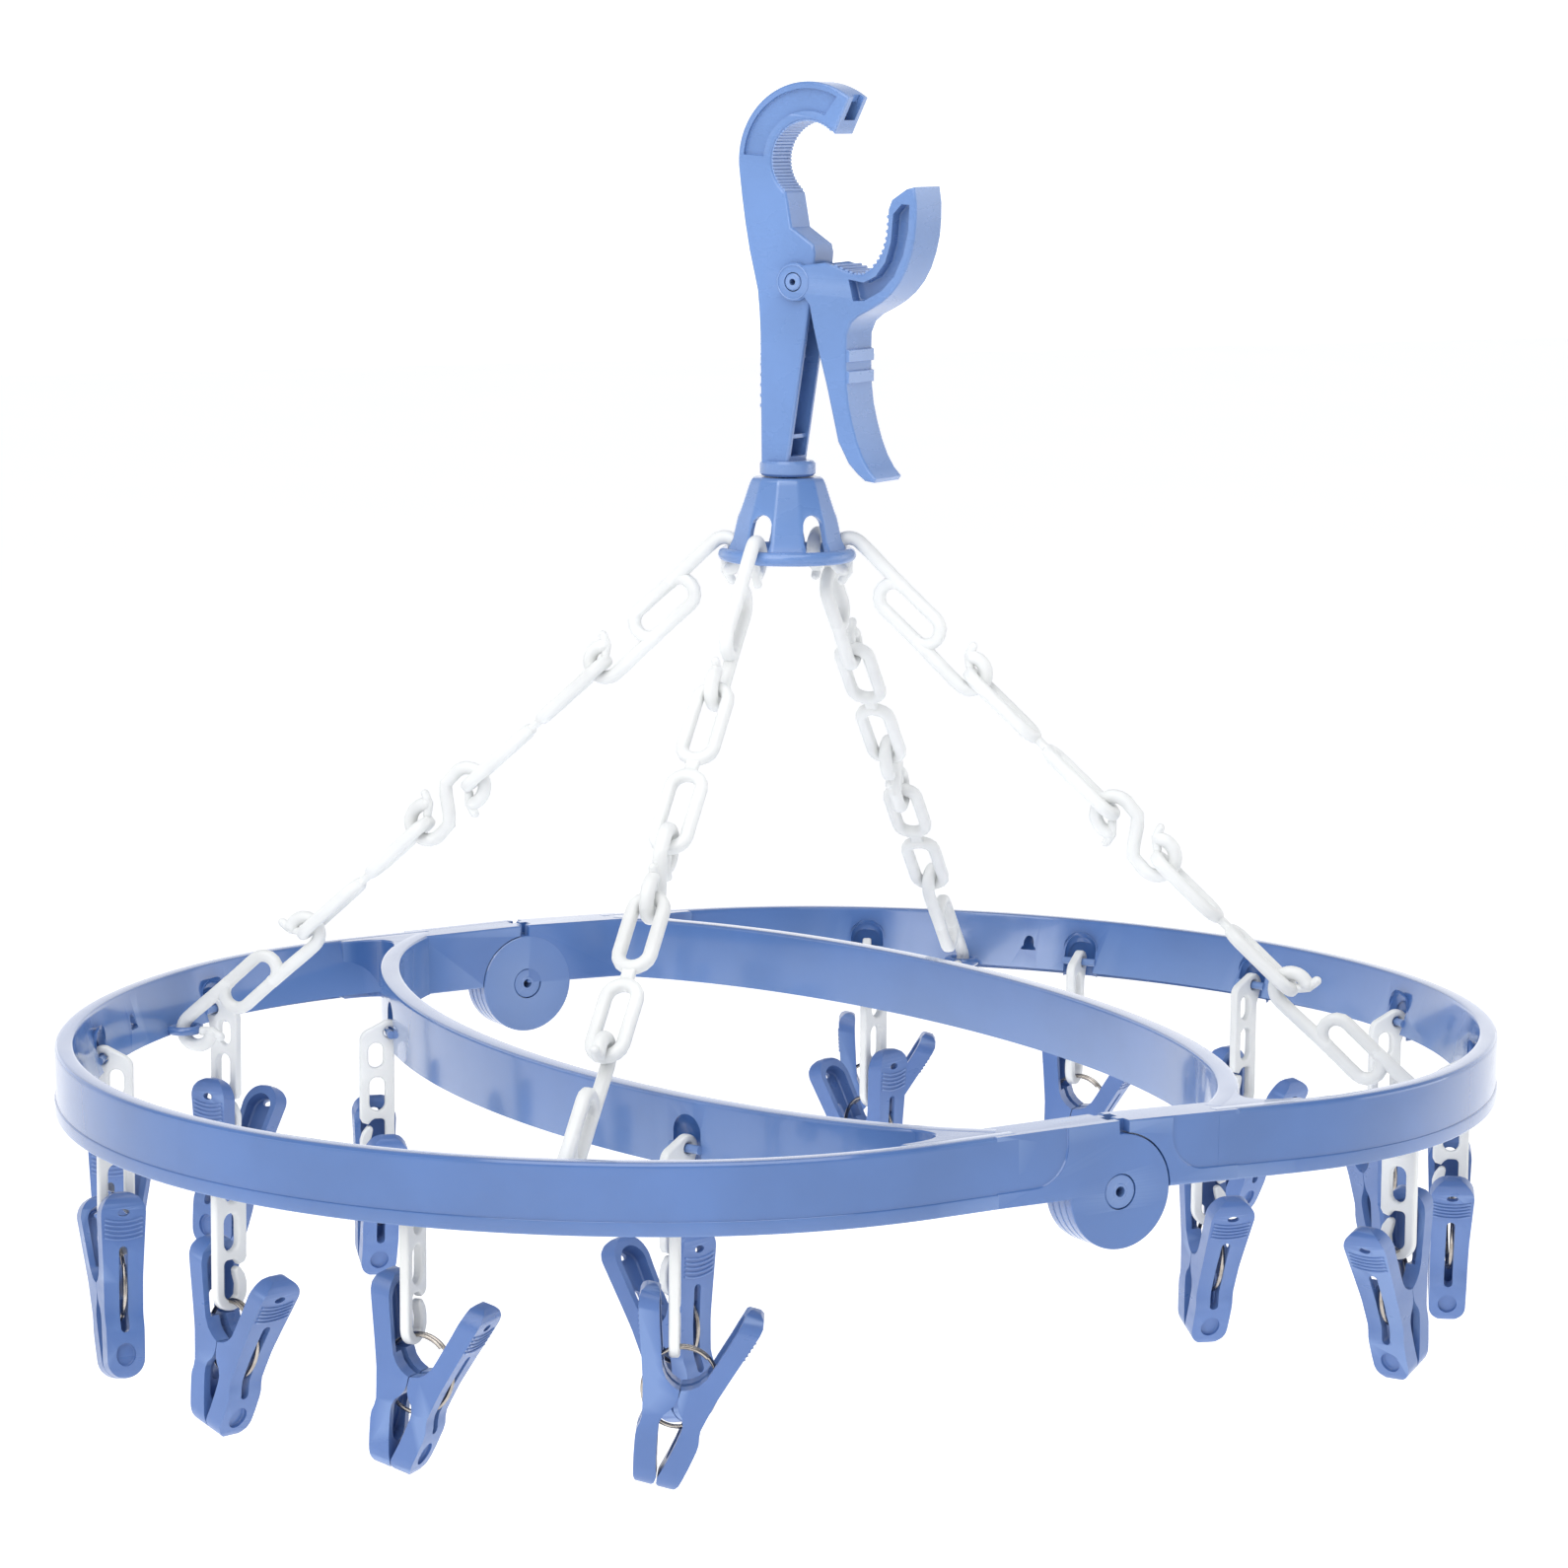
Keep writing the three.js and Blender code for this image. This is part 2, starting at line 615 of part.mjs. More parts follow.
// One chain, drawn up its own straight line from the hub's rim to the ring's
// loop. The slotted end links and the S-shaped middle link stand upright, and
// the double rings between them lie square to those.
function chain(side, end, loopAngle) {
  const top = new THREE.Vector3(
    side * HUB_RIM_RADIUS * Math.cos(CHAIN_HUB_AZIMUTH),
    end * HUB_RIM_RADIUS * Math.sin(CHAIN_HUB_AZIMUTH),
    HUB_RIM_Z,
  );
  const loop = hangPoint(rimPoint(end * loopAngle), CHAIN_LOOP_INSET + CHAIN_LOOP_RADIUS, CHAIN_LOOP_DROP);
  const foot = loop.point.applyMatrix4(halfFrame(side));
  const line = new THREE.Vector3().subVectors(foot, top);
  const length = line.length();
  const down = line.clone().normalize();
  const flat = new THREE.Vector3(-down.y, down.x, 0).normalize();
  const rise = new THREE.Vector3().crossVectors(down, flat).multiplyScalar(-1);
  const at = (share) => top.clone().addScaledVector(line, share);
  const upright = (share) => placement(at(share), rise, down);
  const level = (share) => placement(at(share), flat, down);
  const link = (shape, place) => plate(shape, LINK_THICKNESS, place);
  const ring = ([from, to], place) => link(ringLinkShape((to - from) * length), place((from + to) / 2));
  const neck = ([from, to], place, width, shift) => (
    link(neckShape(width, (to - from) * length, shift), place((from + to) / 2))
  );
  const hook = (share, inner, armSide, arm) => link(hookShape(inner, armSide, arm), upright(share));
  const armWidth = LINK_HOOK_RADIUS - HOOK_ARM_INNER;
  const armShift = (LINK_HOOK_RADIUS + HOOK_ARM_INNER) / 2;
  // A slotted plate, with an arm off one edge to the hook above and one off the other to the hook below.
  const slottedLink = (upper, plateSpan, lower, inners, armSide) => [
    hook(upper, inners[0], armSide, 1),
    neck([upper, plateSpan[0] + PLATE_LAP], upright, armWidth, armSide * armShift),
    ring(plateSpan, upright),
    neck([plateSpan[1] - PLATE_LAP, lower], upright, armWidth, -armSide * armShift),
    hook(lower, inners[1], -armSide, -1),
  ];
  const doubleRing = ([from, to]) => [
    ring([from, from + RING_SHARE], level),
    neck([from + RING_SHARE - WAIST_LAP, to - RING_SHARE + WAIST_LAP], level, NECK_WIDTH, 0),
    ring([to - RING_SHARE, to], level),
  ];
  const places = CHAIN_SHARES;
  const sSpan = (places.sFoot - places.sTop) * length;
  const hubInner = HUB_RIM_ROLL + HUB_HOOK_GAP;
  const loopInner = CHAIN_LOOP_WIRE + LOOP_HOOK_GAP;
  return join([
    ...slottedLink(0, places.topPlate, places.topHook, [hubInner, LINK_HOOK_INNER], 1),
    ...doubleRing(places.upperRings),
    hook(places.sTop, LINK_HOOK_INNER, 1, 1),
    link(slantShape(sSpan, armWidth / 2), upright((places.sTop + places.sFoot) / 2)),
    hook(places.sFoot, LINK_HOOK_INNER, -1, -1),
    ...doubleRing(places.lowerRings),
    ...slottedLink(places.footHook, places.footPlate, 1, [LINK_HOOK_INNER, loopInner], -1),
  ]);
}

// ------------------------------------------------------------------------ hub
function hub() {
  const bore = SWIVEL_PIN_RADIUS + SWIVEL_GAP;
  const waist = HUB_RIM_Z + 4;
  const outline = [
    [bore, HUB_TOP_Z],
    [bore, HUB_TOP_Z - HUB_WALL],
    [HUB_TOP_RADIUS - HUB_WALL, HUB_TOP_Z - HUB_WALL],
    [HUB_WAIST_RADIUS - HUB_WALL, waist],
    [HUB_RIM_RADIUS - HUB_WALL, HUB_RIM_Z + 0.5],
    [HUB_RIM_RADIUS, HUB_RIM_Z + 0.5],
    [HUB_WAIST_RADIUS, waist],
    [HUB_TOP_RADIUS, HUB_TOP_Z],
    [bore, HUB_TOP_Z],
  ];
  const bell = new THREE.LatheGeometry(outline.map(([r, z]) => new THREE.Vector2(r, z)), HUB_SIDES);
  bell.rotateX(Math.PI / 2);
  bell.rotateZ(Math.PI / HUB_SIDES);
  const half = HUB_SLOT_WIDTH / 2;
  const slot = polygon([
    [-half, HUB_RIM_Z],
    [half, HUB_RIM_Z],
    ...arcPoints([0, HUB_RIM_Z + HUB_SLOT_HEIGHT - half], half, 0, Math.PI, 4),
  ]);
  let solid = toSolid(facingOut(welded(bell)));
  for (let i = 0; i < HUB_SLOTS; i += 1) {
    const angle = Math.PI * (2 * i + 1) / HUB_SLOTS;
    const outward = new THREE.Vector3(Math.cos(angle), Math.sin(angle), 0);
    const right = new THREE.Vector3(-outward.y, outward.x, 0);
    const middle = outward.clone().multiplyScalar(HUB_RIM_RADIUS - 4);
    solid = solid.subtract(plate(slot, 14, placement(middle, right, new THREE.Vector3(0, 0, 1))));
  }
  const roll = new THREE.TorusGeometry(HUB_RIM_RADIUS, HUB_RIM_ROLL, 6, 24);
  roll.translate(0, 0, HUB_RIM_Z);
  return solid.add(toSolid(roll));
}

// ---------------------------------------------------------------------- clamp
// Outlines are drawn in the clamp's own plane, seen from its front.
function clampFrame() {
  const right = new THREE.Vector3(Math.cos(CLAMP_AZIMUTH), Math.sin(CLAMP_AZIMUTH), 0);
  return placement(new THREE.Vector3(), right, new THREE.Vector3(0, 0, 1));
}

function clampPlate(points, thickness, offset = 0) {
  const frame = clampFrame().multiply(new THREE.Matrix4().makeTranslation(0, 0, offset));
  return plate(polygon(points), thickness, frame);
}

function clampRod(centre, radius, half, sides = 20) {
  const frame = clampFrame();
  const from = new THREE.Vector3(centre[0], centre[1], -half).applyMatrix4(frame);
  const to = new THREE.Vector3(centre[0], centre[1], half).applyMatrix4(frame);
  return rod(from, to, radius, sides);
}

function hookBody() {
  const degrees = THREE.MathUtils.degToRad;
  const outline = [
    ...arcPoints(POLE_CENTRE, JAW_OUTER_RADIUS, degrees(53), degrees(188), 12),
    [-10.5, -24],
    [-7.2, -37.4],
    [-6.2, -60],
    [-5.9, -89],
    [3, -89],
    [9.8, -43.4],
    [11.2, -34],
    [12, -22],
    [4, -17],
    ...arcPoints(POLE_CENTRE, JAW_INNER_RADIUS, degrees(235), degrees(41), 12),
  ];
  const hollow = [
    [-8.4, -24],
    [-5.2, -37.4],
    [-4.2, -60],
    [-3.9, -86],
    [20, -86],
    [20, -38],
    [4, -25],
  ];
  const jawHollow = [
    ...arcPoints(POLE_CENTRE, JAW_OUTER_RADIUS - 3, degrees(56), degrees(150), 8),
    ...arcPoints(POLE_CENTRE, JAW_INNER_RADIUS + 3, degrees(150), degrees(50), 8),
    [32, 26],
    [28, 32],
  ];
  const inside = BODY_DEPTH - 2 * BODY_WALL;
  const jawInside = BODY_DEPTH - 7;
  const collarTop = -87.6;
  const head = HUB_TOP_Z - HUB_WALL - LEVER_GAP;
  const up = (z) => new THREE.Vector3(0, 0, z);
  const body = clampPlate(outline, BODY_DEPTH)
    .subtract(clampPlate(hollow, inside))
    .subtract(clampPlate(jawHollow, jawInside))
    .subtract(clampRod(CLAMP_PIVOT, CLAMP_PIN_RADIUS + 0.25, BODY_DEPTH));
  return join([
    body,
    rod(up(collarTop), up(HUB_TOP_Z + LEVER_GAP), COLLAR_RADIUS, 24),
    rod(up(collarTop), up(head - 2.5), SWIVEL_PIN_RADIUS, 16),
    rod(up(head), up(head - 2.5), SWIVEL_PIN_RADIUS + 2, 16),
  ]);
}

function clampLever() {
  const degrees = THREE.MathUtils.degToRad;
  const jawInner = [[17.4, -27.4], [23.6, -29.4], [29.2, -30.2], [34.1, -26.4], [36.7, -20.6], [37.4, -11]];
  const jawOuter = [[46.2, -4.5], [46.6, -16.5], [45.2, -26], [41.6, -34.4], [35, -39.4], [26.6, -43.2]];
  const handleOuter = [[23.8, -49], [24, -63], [26.2, -75], [29.6, -85], [34.4, -91.2], [30.6, -92]];
  const handleInner = [[25, -87], [21.4, -80.5], [17.4, -64], [14.2, -52.4], [11.3, -40]];
  const ear = arcPoints(CLAMP_PIVOT, EAR_RADIUS, degrees(-52), degrees(-300), 12);
  const outline = [...jawInner, ...jawOuter, ...handleOuter, ...handleInner, ...ear];
  const width = BODY_DEPTH + 2 * (LEVER_GAP + LEVER_WALL);
  const hollow = [
    [-6, -20],
    [22, -26],
    [24.2, -31.6],
    [29.4, -32.6],
    [35.8, -28],
    [39, -21],
    [39.4, -11],
    [43.6, -8.5],
    [44.2, -16.5],
    [43, -25],
    [39.6, -32.6],
    [34, -37],
    [25.2, -41.4],
    [22, -48],
    [22.2, -63.4],
    [24.4, -75.6],
    [27.8, -85.4],
    [24, -88],
    [8, -86],
    [-6, -44],
  ];
  return clampPlate(outline, width)
    .subtract(clampPlate(hollow, BODY_DEPTH + 2 * LEVER_GAP))
    .subtract(clampRod(CLAMP_PIVOT, CLAMP_PIN_RADIUS + 0.25, width));
}

function clampPin() {
  const half = BODY_DEPTH / 2 + LEVER_GAP + LEVER_WALL + 0.4;
  const hole = clampRod(CLAMP_PIVOT, CLAMP_PIN_HOLE, half + 1, 10);
  return clampRod(CLAMP_PIVOT, CLAMP_PIN_RADIUS, half).subtract(hole);
}

function hingePin(end) {
  const stack = LEAF_COUNT * LEAF_THICKNESS + (LEAF_COUNT - 1) * LEAF_GAP;
  const from = new THREE.Vector3(0, end * RING_HALF_WIDTH, HINGE_Z);
  const to = new THREE.Vector3(0, end * (RING_HALF_WIDTH - stack), HINGE_Z);
  const past = new THREE.Vector3(0, end, 0);
  const hole = rod(from.clone().add(past), to.clone().sub(past), HINGE_PIN_HOLE, 12);
  return rod(from, to, HINGE_PIN_RADIUS, 20).subtract(hole);
}

// ------------------------------------------------------------------- assembly
function add(name, solid, finish) {
  const geometry = toGeometry(solid);
  geometry.computeVertexNormals();
  const mesh = new THREE.Mesh(geometry, new THREE.MeshStandardMaterial(finish));
  mesh.name = name;
  group.add(mesh);
}

function placeSolid(solid, frame, mirrored) {
  const geometry = toGeometry(solid);
  geometry.applyMatrix4(frame);
  return toSolid(mirrored ? turnOver(geometry) : geometry);
}

const SIDES = [['left', -1, 0], ['right', 1, 1]];
const ENDS = [['front', -1], ['back', 1]];

for (const [sideName, side, firstLeaf] of SIDES) {
  add(`frame_${sideName}`, placeSolid(halfRing(sideName, firstLeaf), halfFrame(side), side < 0), BLUE);
}
for (const [endName, end] of ENDS) {
  add(`hinge_pin_${endName}`, hingePin(end), BLUE);
}
add('hub', hub(), BLUE);
add('hook_body', hookBody(), BLUE);
add('clamp_lever', clampLever(), BLUE);
add('clamp_pin', clampPin(), BLUE);
for (const [sideName, side] of SIDES) {
  for (const [endName, end] of ENDS) {
    const name = `${sideName}_${endName}`;
    add(`chain_${name}`, chain(side, end, QUARTERS[name].loop), WHITE);
  }
}

for (const [sideName, side] of SIDES) {
  for (const [endName, end] of ENDS) {
    const quarter = QUARTERS[`${sideName}_${endName}`];
    const onRim = (degrees) => hangPoint(rimPoint(end * degrees), POCKET_BAR_INSET, POCKET_BAR_DROP);
    const hangs = quarter.pegs.map(onRim);
    hangs.push(hangPoint(barPegPlace(end), BAR_PIVOT_OUTSET, POCKET_BAR_DROP));
    hangs.forEach((hang, number) => {
      const layout = pegLayout(side, hang, quarter.leans[number]);
      const name = `${sideName}_${endName}_${number + 1}`;
      add(`strap_${name}`, strap(layout), WHITE);
      add(`upright_jaw_${name}`, jaw(layout, layout.upright), PEG_BLUE);
      add(`leaning_jaw_${name}`, jaw(layout, layout.upright.clone().negate()), PEG_BLUE);
    });
  }
}

export default group;
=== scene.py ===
# Clip drying hanger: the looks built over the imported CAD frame.
# Shapes are drawn in millimetres in the CAD frame and scaled once, in piece().
import math
import random
import bmesh
import bpy
from mathutils import Matrix, Vector


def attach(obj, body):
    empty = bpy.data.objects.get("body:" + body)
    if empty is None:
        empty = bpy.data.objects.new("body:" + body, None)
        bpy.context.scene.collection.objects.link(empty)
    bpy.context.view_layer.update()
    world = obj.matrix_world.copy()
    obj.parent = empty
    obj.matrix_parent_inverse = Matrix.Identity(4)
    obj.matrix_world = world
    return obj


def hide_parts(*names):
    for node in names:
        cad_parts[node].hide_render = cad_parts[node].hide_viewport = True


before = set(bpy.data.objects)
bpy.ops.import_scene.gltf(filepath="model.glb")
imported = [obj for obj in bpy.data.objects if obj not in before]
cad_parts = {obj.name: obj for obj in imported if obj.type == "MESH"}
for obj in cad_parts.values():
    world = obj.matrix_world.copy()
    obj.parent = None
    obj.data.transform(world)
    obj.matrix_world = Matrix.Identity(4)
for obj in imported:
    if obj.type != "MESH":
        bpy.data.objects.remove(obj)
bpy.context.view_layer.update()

MM = 0.001
UP = Vector((0, 0, 1))

# --------------------------------------------------------------- studio facts
CAMERA_AZIMUTH = math.radians(-30.136)
CAMERA_ELEVATION = math.radians(8.10)
CAMERA_ROLL = math.radians(0.42)
CAMERA_DISTANCE = 1500.2
CAMERA_TARGET = Vector((-0.5, 0, -186.7))
CAMERA_LENS = 112.46
SENSOR = 36
FLOOR_Z = -620
FLOOR_HALF = 9000
LIGHTS_AIM = Vector((0, 0, -0.2))

# -------------------------------------------------- dimensions shared with CAD
RING_HALF_LENGTH = 225
RING_HALF_WIDTH = 186
STRAIGHT_HALF = 60
END_RADIUS = 194
RING_TOP_Z = -257
RIM_HEIGHT = 20
INNER_WALL_HEIGHT = 17.5
LEDGE = 6
INNER_FOOT = 11
WALL = 2
DROOP = math.radians(1)
BAR_HALF_BOW = 101
BAR_HALF_SPAN = 195
BAR_WIDTH = 6.5
BAR_END = math.radians(68)
HINGE_Z = RING_TOP_Z - 20
LEAF_RADIUS = 16.3
RIM_START = 33
PANEL_START = 17
PANEL_CORNER = 11
PANEL_HEIGHT = 15.9
PANEL_DEPTH = 0.5
BLOCK_END = 40
HINGE_BORE = 5.1
LEAF_THICKNESS = 3
LEAF_PITCH = 3.3
LEAF_COUNT = 4
LEAF_STACK = (LEAF_COUNT - 1) * LEAF_PITCH + LEAF_THICKNESS
LEAF_GAP = 0.3
HINGE_PIN_RADIUS = 4.9
HINGE_PIN_HOLE = 1.5
POCKET_HALF_WIDTH = 5.6
POCKET_LIFT = 3
POCKET_INSET = 9.7
POCKET_DROP = 14
BAR_PIVOT_OUTSET = 0.6
BAR_PEG_Y = 97
LOOP_RADIUS = 4.7
LOOP_WIRE = 1.4
LOOP_INSET = 14
LOOP_DROP = 16
BELL_DROP = 9.2
JOIN_LAP = 0.05
HUB_RIM_Z = -116
HUB_TOP_Z = -92.4
HUB_RIM_RADIUS = 19
HUB_RIM_ROLL = 2.1
CHAIN_AZIMUTH = math.radians(30)
CLAMP_AZIMUTH = math.radians(-58)
CLAMP_DEPTH = 13
POLE_CENTRE = (9, 3)
CLAMP_PIVOT = (5.9, -33.2)
STRAP_CENTRE = 3.8
STRAP_WIDTH = 11
STRAP_FOOT = -42.4
PEG_TILT = math.radians(14.5)
WIRE_POINT = (4.3, 38.6)
WIRE_DROP = 39.6

# Each quarter's peg, anchor loop and bell directions in degrees from its end of the long axis, and
# which way its four pegs lean.
QUARTERS = {
    "left_front": {"pegs": (12.5, 31, 52), "loop": 42.5, "bell": 36.2, "leans": (-1, -1, -1, -1)},
    "left_back": {"pegs": (8, 31, 54), "loop": 47, "bell": 40, "leans": (1, 1, 1, 1)},
    "right_front": {"pegs": (8, 31, 54), "loop": 47, "bell": 40, "leans": (-1, 1, 1, -1)},
    "right_back": {"pegs": (12.5, 31, 52), "loop": 42.5, "bell": 36.2, "leans": (1, 1, 1, 1)},
}
SIDES = {"left": -1, "right": 1}
ENDS = {"front": -1, "back": 1}


# ------------------------------------------------------------------ materials
CLOUDS_PER_METRE = 26
PATCHES_PER_METRE = 60
GRAINS_PER_METRE = 700
WIRE_MARKS_PER_METRE = 300
# share of the painted edge highlight that is mixed into the colour on the sharpest convex edges
EDGE_HIGHLIGHT = 0.35


def new_material(name, colour, roughness, **sockets):
    """A new material, with its node tree and its shader."""
    material = bpy.data.materials.new(name)
    material.use_nodes = True
    shader = material.node_tree.nodes["Principled BSDF"]
    shader.inputs["Base Color"].default_value = (*colour, 1)
    shader.inputs["Roughness"].default_value = roughness
    for socket, value in sockets.items():
        shader.inputs[socket.replace("_", " ")].default_value = value
    return material, material.node_tree, shader


def noise(tree, scale, detail=3, stretch=(1, 1, 1)):
    """Noise over the object's own coordinates, with scale in features per metre."""
    place = tree.nodes.new("ShaderNodeTexCoord")
    mapping = tree.nodes.new("ShaderNodeMapping")
    mapping.inputs["Scale"].default_value = stretch
    texture = tree.nodes.new("ShaderNodeTexNoise")
    texture.inputs["Scale"].default_value = scale
    texture.inputs["Detail"].default_value = detail
    tree.links.new(place.outputs["Object"], mapping.inputs["Vector"])
    tree.links.new(mapping.outputs["Vector"], texture.inputs["Vector"])
    return texture.outputs["Fac"]


def ramp(tree, source, low, high, start=0.35, end=0.65):
    """A colour that runs from low to high as source goes from start to end."""
    node = tree.nodes.new("ShaderNodeValToRGB")
    node.color_ramp.elements[0].position = start
    node.color_ramp.elements[1].position = end
    node.color_ramp.elements[0].color = (*low, 1)
    node.color_ramp.elements[1].color = (*high, 1)
    tree.links.new(source, node.inputs["Fac"])
    return node.outputs["Color"]


def span(tree, source, low, high, start=0.3, end=0.7):
    """A number that runs from low to high as source goes from start to end."""
    node = tree.nodes.new("ShaderNodeMapRange")
    node.inputs["From Min"].default_value = start
    node.inputs["From Max"].default_value = end
    node.inputs["To Min"].default_value = low
    node.inputs["To Max"].default_value = high
    tree.links.new(source, node.inputs["Value"])
    return node.outputs["Result"]


def mix(tree, factor, first, second):
    node = tree.nodes.new("ShaderNodeMix")
    node.data_type = "RGBA"
    tree.links.new(factor, node.inputs["Factor"])
    tree.links.new(first, node.inputs["A"])
    tree.links.new(second, node.inputs["B"])
    return node.outputs["Result"]


def bump(tree, shader, height, strength, distance):
    node = tree.nodes.new("ShaderNodeBump")
    node.inputs["Strength"].default_value = strength
    node.inputs["Distance"].default_value = distance
    tree.links.new(height, node.inputs["Height"])
    tree.links.new(node.outputs["Normal"], shader.inputs["Normal"])


def moulded_plastic(name, colour, roughness, highlight_tint, coat=0.0):
    """Injection-moulded plastic: cloudy colour, faint orange-peel and a painted highlight that makes sharp convex
    edges paler.
    """
    material, tree, shader = new_material(name, colour, roughness, Coat_Weight=coat, Coat_Roughness=0.08)
    darker = tuple(value * 0.92 for value in colour)
    paler = tuple(min(1, value * 1.07) for value in colour)
    cloud = ramp(tree, noise(tree, CLOUDS_PER_METRE, 4), darker, paler)
    # painted highlight: a paler tint blended in on sharp convex edges through pointiness, in place of light
    # caught on the edges
    edge_highlight = tree.nodes.new("ShaderNodeRGB")
    edge_highlight.outputs["Color"].default_value = (*highlight_tint, 1)
    geometry = tree.nodes.new("ShaderNodeNewGeometry")
    edge = span(tree, geometry.outputs["Pointiness"], 0, EDGE_HIGHLIGHT, 0.53, 0.62)
    tree.links.new(mix(tree, edge, cloud, edge_highlight.outputs["Color"]), shader.inputs["Base Color"])
    patches = noise(tree, PATCHES_PER_METRE, 5, (1, 1, 2.5))
    tree.links.new(span(tree, patches, roughness * 0.8, roughness * 1.3), shader.inputs["Roughness"])
    bump(tree, shader, noise(tree, GRAINS_PER_METRE, 3), 0.08, 0.0001)
    return material


def spring_steel():
    """Bright drawn wire."""
    material, tree, shader = new_material("spring_steel", (0.4, 0.37, 0.33), 0.25, Metallic=1.0)
    drawn = noise(tree, WIRE_MARKS_PER_METRE, 3)
    tree.links.new(ramp(tree, drawn, (0.3, 0.27, 0.24), (0.5, 0.46, 0.41)), shader.inputs["Base Color"])
    tree.links.new(span(tree, drawn, 0.16, 0.3), shader.inputs["Roughness"])
    bump(tree, shader, drawn, 0.05, 0.00005)
    return material


# each material's fourth argument is the colour of its painted edge highlight
RING_BLUE = moulded_plastic("ring_blue", (0.057, 0.138, 0.365), 0.16, (0.3, 0.42, 0.66), 0.7)
CLAMP_BLUE = moulded_plastic("clamp_blue", (0.125, 0.235, 0.5), 0.26, (0.36, 0.48, 0.74), 0.35)
PEG_BLUE = moulded_plastic("peg_blue", (0.085, 0.165, 0.4), 0.33, (0.26, 0.38, 0.64), 0.15)
CHAIN_WHITE = moulded_plastic("chain_white", (0.74, 0.75, 0.74), 0.4, (0.86, 0.87, 0.86))
STEEL = spring_steel()


# --------------------------------------------------------------- mesh helpers
def evaluated_mesh(obj):
    """The mesh of obj with its modifiers applied; obj is then removed."""
    graph = bpy.context.evaluated_depsgraph_get()
    mesh = bpy.data.meshes.new_from_object(obj.evaluated_get(graph))
    bpy.data.objects.remove(obj)
    return mesh


def temporary(data):
    obj = bpy.data.objects.new("working", data)
    bpy.context.scene.collection.objects.link(obj)
    return obj


def mesh_of(points, faces):
    mesh = bpy.data.meshes.new("shape")
    mesh.from_pydata([tuple(p) for p in points], [], faces)
    mesh.update()
    return mesh


def weld(mesh, distance=0.002):
    work = bmesh.new()
    work.from_mesh(mesh)
    bmesh.ops.remove_doubles(work, verts=work.verts, dist=distance)
    bmesh.ops.recalc_face_normals(work, faces=work.faces)
    work.to_mesh(mesh)
    work.free()
    return mesh


def moved(mesh, matrix):
    """A transformed copy, with its faces still pointing out if the move is a mirror."""
    copy = mesh.copy()
    copy.transform(matrix)
    if matrix.determinant() < 0:
        copy.flip_normals()
    return copy


def joined(meshes):
    work = bmesh.new()
    for mesh in meshes:
        work.from_mesh(mesh)
    result = bpy.data.meshes.new("joined")
    work.to_mesh(result)
    work.free()
    return result


def carved(mesh, tool, operation="DIFFERENCE"):
    """mesh with tool cut out of it, joined to it, or kept only where both are."""
    base = temporary(mesh)
    other = temporary(tool)
    modifier = base.modifiers.new("cut", "BOOLEAN")
    modifier.operation = operation
    modifier.solver = "EXACT"
    modifier.object = other
    result = evaluated_mesh(base)
    bpy.data.objects.remove(other)
    return result


def softened(mesh, width, segments=2, angle=32):
    """mesh with its sharp edges rounded."""
    obj = temporary(mesh)
    modifier = obj.modifiers.new("round", "BEVEL")
    modifier.width = width
    modifier.segments = segments
    modifier.limit_method = "ANGLE"
    modifier.angle_limit = math.radians(angle)
    return evaluated_mesh(obj)


def plate(outlines, thickness, rounding=0.0, steps=2):
    """A flat piece in the XY plane: the first outline is its edge and the rest are holes."""
    curve = bpy.data.curves.new("outline", "CURVE")
    curve.dimensions = "2D"
    curve.fill_mode = "BOTH"
    curve.extrude = thickness / 2 - rounding
    curve.bevel_depth = rounding
    curve.bevel_resolution = steps
    curve.offset = -rounding
    for outline in outlines:
        spline = curve.splines.new("POLY")
        spline.points.add(len(outline) - 1)
        for point, (x, y) in zip(spline.points, outline):
            point.co = (x, y, 0, 1)
        spline.use_cyclic_u = True
    return weld(evaluated_mesh(temporary(curve)))


def wire(points, radius, closed=False, sides=4):
    """A round wire through points."""
    curve = bpy.data.curves.new("wire", "CURVE")
    curve.dimensions = "3D"
    curve.bevel_depth = radius
    curve.bevel_resolution = sides
    curve.use_fill_caps = not closed
    spline = curve.splines.new("POLY")
    spline.points.add(len(points) - 1)
    for point, place in zip(spline.points, points):
        point.co = (*place, 1)
    spline.use_cyclic_u = closed
    return weld(evaluated_mesh(temporary(curve)))


def lathe(profile, steps=64):
    """A closed (radius, height) profile turned round Z."""
    points = []
    faces = []
    count = len(profile)
    for i in range(steps):
        turn = math.tau * i / steps
        points += [(r * math.cos(turn), r * math.sin(turn), z) for r, z in profile]
        for j in range(count):
            a, b = i * count + j, i * count + (j + 1) % count
            c, d = (b + count) % (steps * count), (a + count) % (steps * count)
            faces.append((a, b, c, d))
    return weld(mesh_of(points, faces))


def rod(start, end, radius, steps=32, hole=0.0, chamfer=0.0):
    """A cylinder or tube between two points, with chamfered rims."""
    start, end = Vector(start), Vector(end)
    length = (end - start).length
    outer = [(radius - chamfer, 0), (radius, chamfer), (radius, length - chamfer), (radius - chamfer, length)]
    inner = [(hole, length), (hole, 0)]
    turn = UP.rotation_difference(end - start).to_matrix().to_4x4()
    return moved(lathe(outer + inner, steps), Matrix.Translation(start) @ turn)


def box(low, high):
    work = bmesh.new()
    bmesh.ops.create_cube(work, size=1)
    size = [b - a for a, b in zip(low, high)]
    middle = [(a + b) / 2 for a, b in zip(low, high)]
    bmesh.ops.scale(work, vec=size, verts=work.verts)
    bmesh.ops.translate(work, vec=middle, verts=work.verts)
    mesh = bpy.data.meshes.new("box")
    work.to_mesh(mesh)
    work.free()
    return mesh


def axes(origin, right, up):
    """A matrix that puts a drawing's x along right, its y along up and its z outward."""
    out = right.cross(up)
    matrix = Matrix((right, up, out)).transposed().to_4x4()
    matrix.translation = origin
    return matrix


